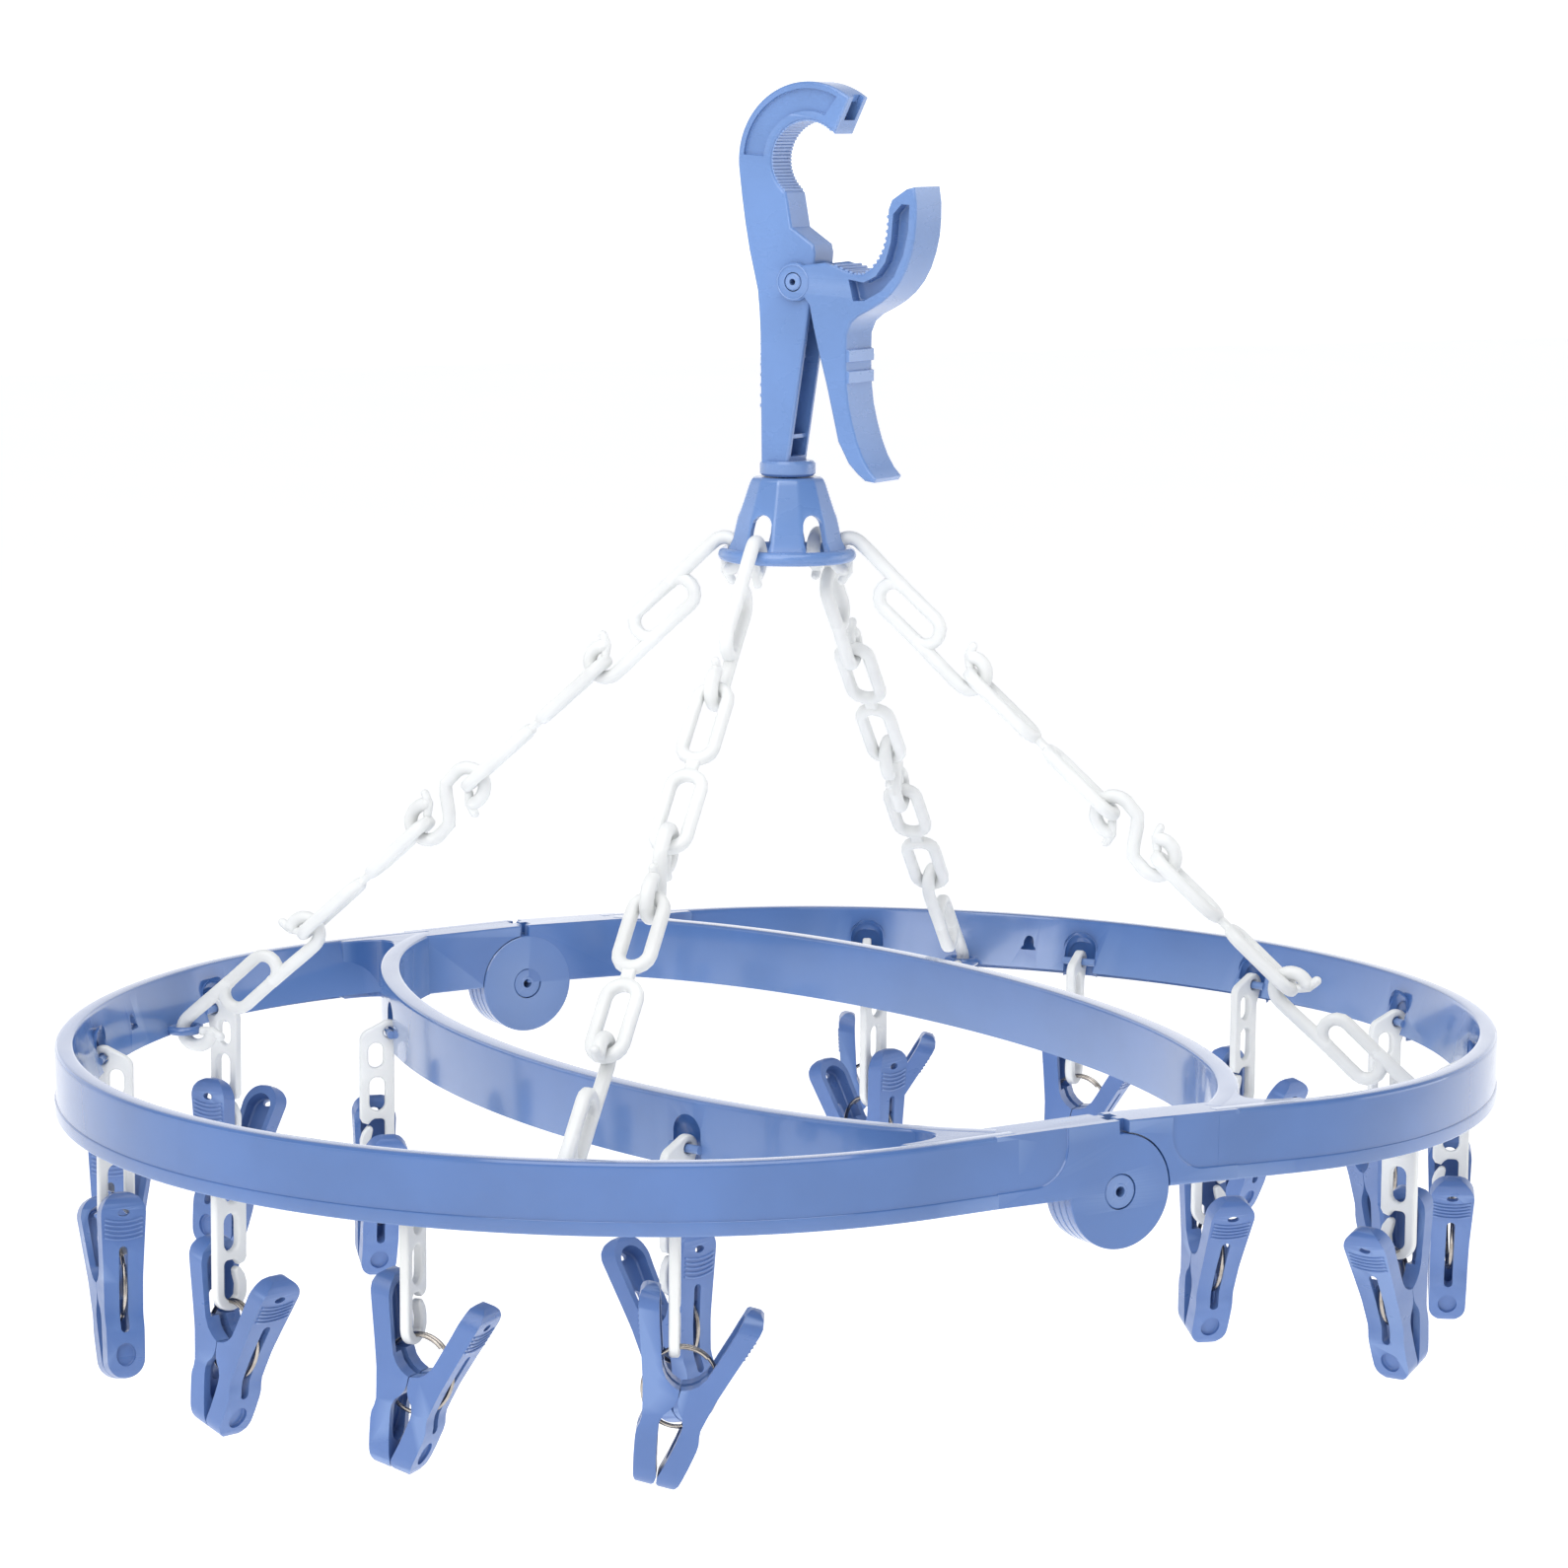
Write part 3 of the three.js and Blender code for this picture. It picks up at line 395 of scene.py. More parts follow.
def arc(centre, radius, start, end, steps):
    """Points on an arc, with its angles in degrees."""
    angles = [math.radians(start + (end - start) * i / steps) for i in range(steps + 1)]
    return [(centre[0] + radius * math.cos(a), centre[1] + radius * math.sin(a)) for a in angles]


def oval(middle, half_width, half_height, count):
    """Points round an ellipse that stands at a height above the drawing's origin."""
    turns = [math.tau * i / count for i in range(count)]
    return [(half_width * math.cos(t), middle + half_height * math.sin(t)) for t in turns]


def stadium(centre, half_width, low, high, steps=8):
    top = arc((centre, high - half_width), half_width, 0, 180, steps)
    return top + arc((centre, low + half_width), half_width, 180, 360, steps)


def sweep(stations, section):
    """A closed (inset, height) section carried along plan stations."""
    count = len(section)
    points = [(p[0] + n[0] * inset, p[1] + n[1] * inset, z) for p, n in stations for inset, z in section]
    faces = []
    for i in range(len(stations) - 1):
        for j in range(count):
            a, b = i * count + j, i * count + (j + 1) % count
            faces.append((a, b, b + count, a + count))
    faces.append(tuple(range(count)))
    faces.append(tuple(range(len(points) - count, len(points))))
    return weld(mesh_of(points, faces), 0.0005)


def piece(name, mesh, material, body, *stands_for, crease=38):
    """Adds a finished piece: scaled to metres, smoothed up to the crease angle, and riding on body."""
    mesh = moved(mesh, Matrix.Scale(MM, 4))
    mesh.materials.clear()
    mesh.materials.append(material)
    for face in mesh.polygons:
        face.use_smooth = True
    mesh.set_sharp_from_angle(angle=math.radians(crease))
    shaded = temporary(mesh)
    flats = shaded.modifiers.new("flat faces", "WEIGHTED_NORMAL")
    flats.keep_sharp = True
    flats.weight = 90
    mesh = evaluated_mesh(shaded)
    mesh.name = name
    obj = bpy.data.objects.new(name, mesh)
    bpy.context.scene.collection.objects.link(obj)
    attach(obj, body)
    if stands_for:
        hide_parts(*stands_for)
    return obj


# ---------------------------------------------------------------- ring layout
END_CENTRE = RING_HALF_LENGTH - END_RADIUS
CENTRE_STEP = STRAIGHT_HALF - END_CENTRE
CORNER_REACH = END_RADIUS ** 2 - CENTRE_STEP ** 2 - RING_HALF_WIDTH ** 2
CORNER_RADIUS = CORNER_REACH / (2 * (END_RADIUS - RING_HALF_WIDTH))
CORNER_Y = RING_HALF_WIDTH - CORNER_RADIUS
ARC_JOIN = math.degrees(math.atan2(CORNER_Y, CENTRE_STEP))


def station(x, y, degrees):
    """A place on the plan and the way in from it, for an outline that faces degrees."""
    turn = math.radians(degrees)
    return (x, y), (-math.cos(turn), -math.sin(turn))


def arc_stations(centre, radius, start, end, steps):
    angles = [start + (end - start) * i / steps for i in range(steps + 1)]
    return [station(*arc(centre, radius, a, a, 1)[0], a) for a in angles]


def rim_stations():
    return [
        station(RIM_START, -RING_HALF_WIDTH, -90),
        station(STRAIGHT_HALF - 2, -RING_HALF_WIDTH, -90),
        *arc_stations((STRAIGHT_HALF, -CORNER_Y), CORNER_RADIUS, -90, -ARC_JOIN, 14),
        *arc_stations((END_CENTRE, 0), END_RADIUS, -ARC_JOIN, ARC_JOIN, 76)[1:-1],
        *arc_stations((STRAIGHT_HALF, CORNER_Y), CORNER_RADIUS, ARC_JOIN, 90, 14),
        station(STRAIGHT_HALF - 2, RING_HALF_WIDTH, 90),
        station(RIM_START, RING_HALF_WIDTH, 90),
    ]


def rim_point(degrees):
    """The outline's station in a direction from the ring's centre."""
    ray = Vector((math.cos(math.radians(degrees)), math.sin(math.radians(degrees))))

    def hit(centre, radius):
        centre = Vector(centre)
        along = centre.dot(ray)
        reach = along + math.sqrt(along ** 2 - centre.length_squared + radius ** 2)
        place = ray * reach
        out = place - centre
        return station(place.x, place.y, math.degrees(math.atan2(out.y, out.x))), out

    on_end, out = hit((END_CENTRE, 0), END_RADIUS)
    if abs(math.degrees(math.atan2(out.y, out.x))) <= ARC_JOIN:
        return on_end
    return hit((STRAIGHT_HALF, math.copysign(CORNER_Y, degrees)), CORNER_RADIUS)[0]


def bar_station(turn):
    x, y = BAR_HALF_BOW * math.cos(turn), BAR_HALF_SPAN * math.sin(turn)
    return station(x, y, math.degrees(math.atan2(y / BAR_HALF_SPAN ** 2, x / BAR_HALF_BOW ** 2)))


def bar_peg_station(end):
    place, inward = bar_station(end * math.asin(BAR_PEG_Y / BAR_HALF_SPAN))
    return place, (-inward[0], -inward[1])


def hang_point(place, inset, drop):
    (x, y), (dx, dy) = place
    return Vector((x + dx * inset, y + dy * inset, RING_TOP_Z - drop)), Vector((dx, dy, 0))


def half_matrix(side):
    """Mirrors the +X half to its side, and lets its outer end droop about the hinge."""
    at_hinge = Matrix.Translation((0, 0, HINGE_Z))
    droop = Matrix.Rotation(side * DROOP, 4, "Y")
    return at_hinge @ droop @ at_hinge.inverted() @ Matrix.Diagonal((side, 1, 1, 1))


# ----------------------------------------------------------------- ring halves
def bell_outline():
    """A little bell, mouth down, about 5 mm across."""
    left = [(-1.8, 0.6), (-1.9, -0.9), (-2.5, -1.5)]
    right = [(2.6, -2.3), (2.5, -1.5), (1.9, -0.9), (1.8, 0.6)]
    return [(-2.6, -2.3), *right, *arc((0, 0.9), 1.6, 10, 170, 8), *left]


def pocket_outline():
    """An arch, open at the foot, that the strap's eye sits in."""
    half, spring_line, foot = POCKET_HALF_WIDTH, 1.2, -12
    return [(-half, foot), (half, foot), (half, spring_line)] + arc((0, spring_line), half, 0, 180, 16)[1:]


def wall_frame(place, inset, drop):
    """A drawing plane that faces the middle of the ring at a place on the wall."""
    origin, away = hang_point(place, inset, drop)
    return axes(origin, UP.cross(away), UP)


def pocket_cutter(place, inset, depth):
    """The dome that is sunk into the wall behind each strap."""
    arch = plate([pocket_outline()], depth, depth * 0.45, 4)
    return moved(arch, wall_frame(place, inset, POCKET_DROP - POCKET_LIFT))


def pocket_liner(place, inset, depth):
    """The curved back of the dome, seen through the opening."""
    rows, columns = 10, 16
    half_width, foot, rise, shoulder = 6.2, -8.5, 15.5, 1.2
    points, faces = [], []
    for i in range(rows + 1):
        lift = i / rows
        height = foot + lift * rise
        narrow = math.sqrt(max(0.03, 1 - max(0.0, (height - shoulder) / half_width) ** 2))
        shallow = math.sqrt(1 - (lift * 0.98) ** 4)
        for j in range(columns + 1):
            turn = math.pi * j / columns
            back = -depth * math.sin(turn) * shallow
            points.append((half_width * math.cos(turn) * narrow, height, back * narrow))
    for i in range(rows):
        for j in range(columns):
            a = i * (columns + 1) + j
            faces.append((a, a + 1, a + columns + 2, a + columns + 1))
    return moved(mesh_of(points, faces), wall_frame(place, inset, POCKET_DROP - POCKET_LIFT))


def pocket_bar(place, inset):
    """The little bar across the pocket that the strap's eye turns on."""
    half, radius = POCKET_HALF_WIDTH + 0.2, 1.3
    return moved(rod((-half, 0, 0), (half, 0, 0), radius, 20), wall_frame(place, inset, POCKET_DROP))


def chain_loop(place):
    """The flat eye that a chain hooks into, with a web back to the wall."""
    centre, away = hang_point(place, LOOP_INSET, LOOP_DROP)
    turns = [math.tau * i / 40 for i in range(40)]
    ring = [centre + LOOP_RADIUS * Vector((math.cos(t), math.sin(t), 0)) for t in turns]
    side = UP.cross(away)
    base = centre - away * LOOP_RADIUS
    spots = [(6.5, -0.5), (3, 0.8), (-3, 0.8), (-6.5, -0.5)]
    web = wire([base + side * across + away * out for across, out in spots], 1.25)
    return [wire(ring, LOOP_WIRE, closed=True, sides=5), web]


def rim_section():
    """The rim's channel: outer wall with a sunk face over a beaded lip, ledge and sloping inner wall."""
    top = RING_TOP_Z
    lip_top = top - PANEL_HEIGHT
    bead, round_over = PANEL_DEPTH - JOIN_LAP, 1.5
    turns = [(1 - math.cos(a), 1 - math.sin(a)) for a in (0, 0.5, 1.05, math.pi / 2)]
    lip = [(JOIN_LAP + bead * inward, lip_top - bead * down) for inward, down in turns]
    edge = [(PANEL_DEPTH + round_over * inward, top - round_over * down) for inward, down in turns]
    return [
        (0.3, top - RIM_HEIGHT),
        (JOIN_LAP, top - RIM_HEIGHT + 0.5),
        *lip,
        *edge,
        (LEDGE - 0.9, top),
        (LEDGE - 0.1, top - 0.35),
        (LEDGE + 0.3, top - 1.2),
        (INNER_FOOT, top - INNER_WALL_HEIGHT),
        (INNER_FOOT - WALL, top - INNER_WALL_HEIGHT),
        (LEDGE - 1.4, top - WALL),
        (WALL, top - WALL),
        (WALL, top - RIM_HEIGHT),
    ]


def bar_section():
    """The bar's channel, open below, with rounded top edges."""
    top, foot = RING_TOP_Z, RING_TOP_Z - RIM_HEIGHT
    wall, roof, round_over = 1.6, 1.8, 1.1
    rounding = [(0, top - round_over), (0.35, top - 0.3), (round_over, top)]
    far_rounding = [(BAR_WIDTH - inset, height) for inset, height in reversed(rounding)]
    hollow = [(BAR_WIDTH - wall, foot), (BAR_WIDTH - wall, top - roof), (wall, top - roof), (wall, foot)]
    return [(0, foot), *rounding, *far_rounding, (BAR_WIDTH, foot), *hollow]


def leaf_band(number, end):
    """The two sides of a hinge leaf, counted from the outside in."""
    outer = RING_HALF_WIDTH - number * LEAF_PITCH
    return sorted((end * outer, end * (outer - LEAF_THICKNESS)))


def panel_recess(end):
    """Cutter for the rim's sunk face, which ends in a quarter round short of the hinge."""
    thickness, chamfer = 2.4, 0.35
    top, low = RING_TOP_Z + 2, RING_TOP_Z - PANEL_HEIGHT
    corner = (PANEL_START + PANEL_CORNER, low + PANEL_CORNER)
    far = BLOCK_END + 4
    panel = [(far, top), (PANEL_START, top), *arc(corner, PANEL_CORNER, 180, 270, 20), (far, low)]
    middle = RING_HALF_WIDTH - PANEL_DEPTH - JOIN_LAP + thickness / 2
    matrix = axes(Vector((0, end * middle, 0)), Vector((1, 0, 0)), UP)
    return moved(plate([panel], thickness, chamfer, 0), matrix)


def leaf_slab(low, high):
    """The outermost leaf, flush with the end of the rim that it grows out of."""
    foot, top = RING_TOP_Z - RIM_HEIGHT + 0.02, RING_TOP_Z - 0.02
    disc = arc((0, HINGE_Z), LEAF_RADIUS, 90, 359, 72)
    outline = [(BLOCK_END, foot), (BLOCK_END, top), (0.15, top), *disc]
    matrix = axes(Vector((0, (low + high) / 2, 0)), Vector((1, 0, 0)), UP)
    slab = moved(plate([outline], high - low, 0.3), matrix)
    return carved(slab, rod((0, low - 1, HINGE_Z), (0, high + 1, HINGE_Z), HINGE_BORE, 48))


def leaf_gap(low, high):
    """Cutters for the room that one of the other half's leaves turns in, with a notch over it."""
    low, high = low - LEAF_GAP, high + LEAF_GAP
    around = rod((0, low, HINGE_Z), (0, high, HINGE_Z), LEAF_RADIUS + 0.4, 72)
    notch = box((-1, low, RING_TOP_Z - 3.6), (2.4, high, RING_TOP_Z + 1))
    return [around, notch]


def hinge_end(end, first_leaf):
    """The solid end of a half: its own leaves grow out of it and the other half's turn in its gaps."""
    outer_side = RING_HALF_WIDTH - (1.3 if first_leaf == 0 else 0)
    low, high = sorted((end * outer_side, end * (RING_HALF_WIDTH - LEAF_STACK + 0.06)))
    near = (0.2, low, RING_TOP_Z - RIM_HEIGHT + JOIN_LAP)
    far = (BLOCK_END - JOIN_LAP, high, RING_TOP_Z - JOIN_LAP)
    block = softened(box(near, far), 0.6, 3)
    leaves, gaps = [], []
    for leaf in range(LEAF_COUNT):
        low, high = leaf_band(leaf, end)
        if leaf % 2 != first_leaf:
            gaps += leaf_gap(low, high)
        elif leaf == 0:
            leaves.append(leaf_slab(low, high))
        else:
            leaves.append(rod((0, low, HINGE_Z), (0, high, HINGE_Z), LEAF_RADIUS, 72, HINGE_BORE, 0.3))
    for gap in gaps:
        block = carved(block, gap)
    for leaf in leaves:
        block = carved(block, leaf, "UNION")
    return carved(block, panel_recess(end))


def corner_web(end):
    """The filled crotch between the bar and the rim, with a round fillet at the opening's tip."""
    wall = RING_HALF_WIDTH - 8
    start, corner, finish = Vector((66, wall)), Vector((44, wall)), Vector((56, 161.5))
    shares = [i / 12 for i in range(13)]
    fillet = [start * (1 - t) ** 2 + corner * (2 * t * (1 - t)) + finish * t * t for t in shares]
    inner = [(52.5, 161), (46.5, 167), (38, 174.5), (34, 177)]
    outline = [*fillet, *inner, (34, 183), (66, 183)]
    solid = plate([[(x, end * y) for x, y in outline]], RIM_HEIGHT - 0.6, 0.6)
    return moved(solid, Matrix.Translation((0, 0, RING_TOP_Z - RIM_HEIGHT / 2 + 0.28)))


def ring_half(side_name):
    """One drooped half of the folding ring."""
    first_leaf = 0 if side_name == "left" else 1
    rim = sweep(rim_stations(), rim_section())
    bar = sweep([bar_station(BAR_END * (i / 40 - 1)) for i in range(81)], bar_section())
    rim_cuts, bar_cuts, extras = [], [], []
    for end_name, end in ENDS.items():
        quarter = QUARTERS[f"{side_name}_{end_name}"]
        for degrees in quarter["pegs"]:
            place = rim_point(end * degrees)
            rim_cuts.append(pocket_cutter(place, POCKET_INSET, 7))
            extras += [pocket_liner(place, POCKET_INSET - 0.6, 4.9), pocket_bar(place, POCKET_INSET)]
        bell_place = wall_frame(rim_point(end * quarter["bell"]), 9, BELL_DROP)
        rim_cuts.append(moved(plate([bell_outline()], 8), bell_place))
        extras += chain_loop(rim_point(end * quarter["loop"]))
        place = bar_peg_station(end)
        bar_cuts.append(pocket_cutter(place, BAR_PIVOT_OUTSET - 1.8, 5))
        extras += [pocket_liner(place, BAR_PIVOT_OUTSET - 1, 4.2), pocket_bar(place, BAR_PIVOT_OUTSET)]
        extras.append(hinge_end(end, first_leaf))
        extras.append(corner_web(end))
    parts = [carved(rim, joined(rim_cuts)), carved(bar, joined(bar_cuts)), *extras]
    mesh = moved(joined(parts), half_matrix(SIDES[side_name]))
    piece(f"ring_half_{side_name}", mesh, RING_BLUE, f"frame_{side_name}", f"frame_{side_name}", crease=30)


def hinge_pin(end_name):
    """The short pin that the leaves turn on, with a raised eyelet at both ends."""
    end, shy = ENDS[end_name], 0.15
    low, high = sorted((end * RING_HALF_WIDTH, end * (RING_HALF_WIDTH - LEAF_STACK)))
    body = rod((0, low + shy, HINGE_Z), (0, high - shy, HINGE_Z), HINGE_PIN_RADIUS, 56, HINGE_PIN_HOLE, 0.3)
    eyelet = rod((0, low, HINGE_Z), (0, high, HINGE_Z), 2.5, 40, HINGE_PIN_HOLE, 0.3)
    piece(f"hinge_tube_{end_name}", joined([body, eyelet]), RING_BLUE, "hinge_pins", f"hinge_pin_{end_name}")


# ------------------------------------------------------------------------ pegs
def strap_mesh():
    """The hanging strap, face on: an eye, two windows and a snap hook for the peg's spring.

    x runs away from the wall and y up from the strap's pivot.
    """
    half = STRAP_WIDTH / 2
    inner, outer = STRAP_CENTRE - half, STRAP_CENTRE + half
    foot = STRAP_FOOT + half
    edge = arc((0, 0), 3.9, 190, 70, 10)
    edge += arc((outer - 4, -2.8), 4, 70, 0, 6)
    edge += [(outer, -27.6), (outer - 0.8, -29), (outer - 2.6, -29.6), (outer - 3.6, -28.4)]
    edge += [(outer - 4.6, -27.8), *arc((inner + 4.4, -29.2), 1.4, 90, 180, 5)]
    edge += arc((STRAP_CENTRE, foot), half - 3, 180, 330, 14)
    edge += [(outer - 3.1, -35.4), (outer - 3.9, -32.6), *arc((outer - 2.9, -31.4), 1.2, 200, 50, 7)]
    edge += [(outer - 0.7, -32.4), (outer, -34.6)]
    edge += arc((STRAP_CENTRE, foot), half, 0, -180, 18) + [(inner, -7)]
    holes = [
        arc((0, 0), 1.7, 0, 345, 23),
        stadium(STRAP_CENTRE + 0.4, 2.4, -11.4, -3.4),
        stadium(STRAP_CENTRE, 2.5, -25.4, -14.4),
    ]
    return plate([edge, *holes], 3, 0.8, 3)


JAW_SHOULDER = (10.2, 28)
JAW_SLOPE = math.atan2(6.6, 20.6)
RIB_COUNT = 5
RIB_PITCH = 1.35


def jaw_profile():
    """Side view of a jaw: x outward from the parting line and y up from the tip."""
    return [
        (0.9, 0.5), (2.1, 0), (4.2, 0), (5.6, 0.9), (6.4, 2.6), (7.7, 8.4), (8.6, 13.4), (8.7, 15.4),
        (8.3, 17.4), (8.2, 19.4), (8.9, 22.6), JAW_SHOULDER, (12.7, 36), (15.3, 44), (16.9, 49), (17.3, 51),
        (17, 52.8), (15.8, 54.1), (14, 54.6), (12.8, 54.3), (12.1, 53.4), (11.5, 50.6), (9.9, 45), (8.3, 40),
        (7.1, 36.2), (6.1, 33.4), (4.6, 31.2), (2.8, 29.8), (1.2, 29.1), (0.15, 28.8), (0.15, 26.2),
        (0.5, 24.4), (1.3, 22.8), (2.6, 21.2), (3.2, 19.2), (3.1, 17.2), (2.5, 13.6), (1.6, 9.2), (0.7, 5.6),
        (0.15, 3.6), (0.3, 1.6),
    ]


def jaw_mesh():
    """A peg jaw: ribbed thumb end with an eye, centre slot, channel inside and a dimple at the tip."""
    # in these two planes x runs across the jaw and y up it; outward lies on the sloping thumb face
    upright = Matrix(((0, 0, 1, 0), (0, 1, 0, 0), (-1, 0, 0, 0), (0, 0, 0, 1)))
    outward = Matrix.Translation((*JAW_SHOULDER, 0)) @ Matrix.Rotation(-JAW_SLOPE, 4, "Z") @ upright
    low_back = Matrix.Translation((8.1, 7, 0)) @ Matrix.Rotation(-0.16, 4, "Z") @ upright
    through = 60
    face = [*arc((0, 47.9), 6.7, 0, 180, 26), (-5.9, 30), *arc((0, 5.8), 5.6, 180, 360, 22), (5.9, 30)]
    thumb = [*arc((0, 18.4), 4.7, 0, 180, 18), (-4.2, 4), (4.2, 4)]
    bite = [*arc((0, -8), 3.7, 0, 180, 12), *arc((0, -16.6), 3.4, 180, 360, 12)]
    body = carved(plate([jaw_profile()], 15), moved(plate([face], through), upright), "INTERSECT")
    body = softened(body, 0.6, 3, 40)
    cutters = [
        moved(plate([thumb], 9, 0.8, 2), outward @ Matrix.Translation((0, 0, -5.9))),
        moved(plate([bite], 9, 0.8, 2), Matrix.Translation((0.3, JAW_SHOULDER[1], 0)) @ upright),
        moved(plate([stadium(0, 1.3, 13.6, 38.6)], through), upright),
        moved(plate([oval(21.3, 1.8, 1.1, 24)], 12), outward),
        moved(plate([oval(0, 2.9, 3.5, 36)], 4, 0.5), low_back),
    ]
    for cutter in cutters:
        body = carved(body, cutter)
    ribs = []
    for step in range(RIB_COUNT):
        height = 13.2 + step * RIB_PITCH
        bow = [(x, height + 0.03 * x * x, 0) for x in (-5.6, -4.4, -3, -1.5, 0, 1.5, 3, 4.4, 5.6)]
        ribs.append(moved(wire(bow, 0.36, sides=2), outward))
    return joined([body, *ribs])


def peg_frames(side, hang, lean):
    """The peg's own axes: its pivot, the way off the wall, its tilted mid-line and its tip."""
    matrix = half_matrix(side)
    pivot = matrix @ hang[0]
    away = matrix.to_3x3() @ hang[1]
    away.z = 0
    away.normalize()
    along = Vector((-away.y, away.x, 0)) * lean
    lean_up = UP * math.cos(PEG_TILT) + along * math.sin(PEG_TILT)
    upright = UP * math.sin(PEG_TILT) - along * math.cos(PEG_TILT)
    hook = pivot - UP * WIRE_DROP + away * STRAP_CENTRE
    tip = hook - upright * WIRE_POINT[0] - lean_up * WIRE_POINT[1]
    return pivot, away, lean_up, upright, tip


def peg_spring():
    """The oval wire spring in the peg's side plane, its two ends lapped over the top."""
    steps, half_width, half_height, middle = 66, 10.2, 11.2, 28.4
    path = []
    for i in range(steps + 1):
        turn = math.radians(60 + 420 * i / steps)
        lap = 0.75 * math.cos(math.pi * i / steps)
        path.append((half_width * math.cos(turn), middle + half_height * math.sin(turn), lap))
    return wire(path, 0.62, sides=3)


def quarter_hangs(quarter, end):
    """The pivots of a quarter's four straps and the ways off the wall: three on the rim, one on the bar."""
    rim_places = [rim_point(end * degrees) for degrees in quarter["pegs"]]
    hangs = [hang_point(place, POCKET_INSET, POCKET_DROP) for place in rim_places]
    return [*hangs, hang_point(bar_peg_station(end), BAR_PIVOT_OUTSET, POCKET_DROP)]


def peg(name, side, hang, lean, shapes):
    """One peg on its strap: the strap, the upright jaw and the spring ride together."""
    strap, jaw, spring = shapes
    pivot, away, lean_up, upright, tip = peg_frames(side, hang, lean)
    on_strap = axes(pivot, away, UP)
    on_tip = axes(tip, upright, lean_up)
    facing = axes(tip, -upright, lean_up)
    body, moving = f"peg_{name}", f"leaning_jaw_{name}"
    piece(f"peg_strap_{name}", moved(strap, on_strap), CHAIN_WHITE, body, f"strap_{name}")
    piece(f"peg_jaw_{name}", moved(jaw, on_tip), PEG_BLUE, body, f"upright_jaw_{name}")
    piece(f"peg_lean_jaw_{name}", moved(jaw, facing), PEG_BLUE, moving, moving)
    piece(f"peg_spring_{name}", moved(spring, on_tip), STEEL, body)


def pegs():
    shapes = strap_mesh(), jaw_mesh(), peg_spring()
    for side_name, side in SIDES.items():
        for end_name, end in ENDS.items():
            quarter = QUARTERS[f"{side_name}_{end_name}"]
            hangs = quarter_hangs(quarter, end)
            for number, (hang, lean) in enumerate(zip(hangs, quarter["leans"]), 1):
                peg(f"{side_name}_{end_name}_{number}", side, hang, lean, shapes)


# ---------------------------------------------------------------------- chains
LINK_THICKNESS = 4
LINK_WIDTH = 13.2
LINK_BAR = 3.9
LINK_RADIUS = 2.15
LINK_TWIST = 6
HOOK_RADIUS = 5
S_RADIUS = 5.7
ARM_OFFSET = 4.7

# where each link starts on its chain and how long it is, as shares of the chain's length
LINK_SPANS = {
    "end_link_top": (0, 0.218),
    "double_ring_upper": (0.21, 0.272),
    "s_link": (0.475, 0.076),
    "double_ring_lower": (0.543, 0.254),
    "end_link_foot": (0.788, 0.212),
}


def ring_link(low, high):
    """An oblong link with round ends."""
    outside = stadium(0, LINK_WIDTH / 2, low, high)
    inside = stadium(0, LINK_WIDTH / 2 - LINK_BAR, low + LINK_BAR, high - LINK_BAR)
    return plate([outside, inside], LINK_THICKNESS, 1.6, 4)


def rope(path, radius):
    """A round moulded bar along a flat path, with ball ends."""
    points = [(x, y, 0) for x, y in path]
    ends = [moved(lathe(arc((0, 0), radius, -90, 90, 8), 16), Matrix.Translation(points[i])) for i in (0, -1)]
    return joined([wire(points, radius, sides=5), *ends])


def barb(place, degrees):
    """The little crosswise flare at a hook's tip, which keeps it from slipping off."""
    turn = math.radians(degrees)
    along = Vector((-math.sin(turn), math.cos(turn)))
    across = Vector((math.cos(turn), math.sin(turn)))
    tip = Vector(place) + along * 1.2
    bow = [tip + across * 3.3 * t - along * abs(t) for t in (-1, -0.5, 0, 0.5, 1)]
    return rope([tuple(p) for p in bow], 1.4)


def hook(centre, start, end, lead):
    """A hook round (0, centre), from the lead-in points round to a barbed tip."""
    bend = arc((0, centre), HOOK_RADIUS, start, end, 18)
    return [rope([*lead, *bend], LINK_RADIUS), barb(bend[-1], end if end > start else end + 180)]


def end_link(length, side):
    """Top or foot link: a slotted plate, with an arm off one edge up to each hook."""
    low, high = 12.5, length - 12.5
    arm = [(ARM_OFFSET - 0.1, 7), (ARM_OFFSET, 1)]
    upper = [*((side * x, low + y) for x, y in arm), (side * HOOK_RADIUS, 4)]
    lower = [*((-side * x, high - y) for x, y in arm), (-side * HOOK_RADIUS, length - 4)]
    turn = 0 if side > 0 else 180
    return joined([
        ring_link(low, high),
        *hook(0, turn, turn - side * 205, upper),
        *hook(length, turn + 180, turn + 180 - side * 215, lower),
    ])


def double_ring(length):
    """Two rings moulded end to end, with a thin waist between them."""
    ring = length / 2 - 1.2
    near = [(-3.4, ring - 2.6), (3.4, ring - 2.6), (2, ring)]
    far = [(-x, length - y) for x, y in near]
    waist = [*near, (2, length - ring), *far, (-2, ring)]
    return joined([ring_link(0, ring), plate([waist], 2.4, 0.8, 3), ring_link(length - ring, length)])


def s_link(length):
    """The middle link: one round bar bent into an S with barbed tips."""
    first_turn, second_turn = -205, -35
    first = arc((0, 0), S_RADIUS, first_turn, 0, 18)
    second = arc((0, length), S_RADIUS, 180, second_turn, 18)
    shares = (0.15, 0.35, 0.5, 0.65, 0.85)
    middle = [(S_RADIUS * math.cos(math.pi * t), length * (0.2 + 0.6 * t)) for t in shares]
    return joined([
        rope([*first, *middle, *second], LINK_RADIUS),
        barb(first[0], first_turn + 180),
        barb(second[-1], second_turn + 180),
    ])


def chain_link(kind, length):
    if kind == "s_link":
        return s_link(length)
    if kind.startswith("double_ring"):
        return double_ring(length)
    return end_link(length, 1 if kind == "end_link_top" else -1)


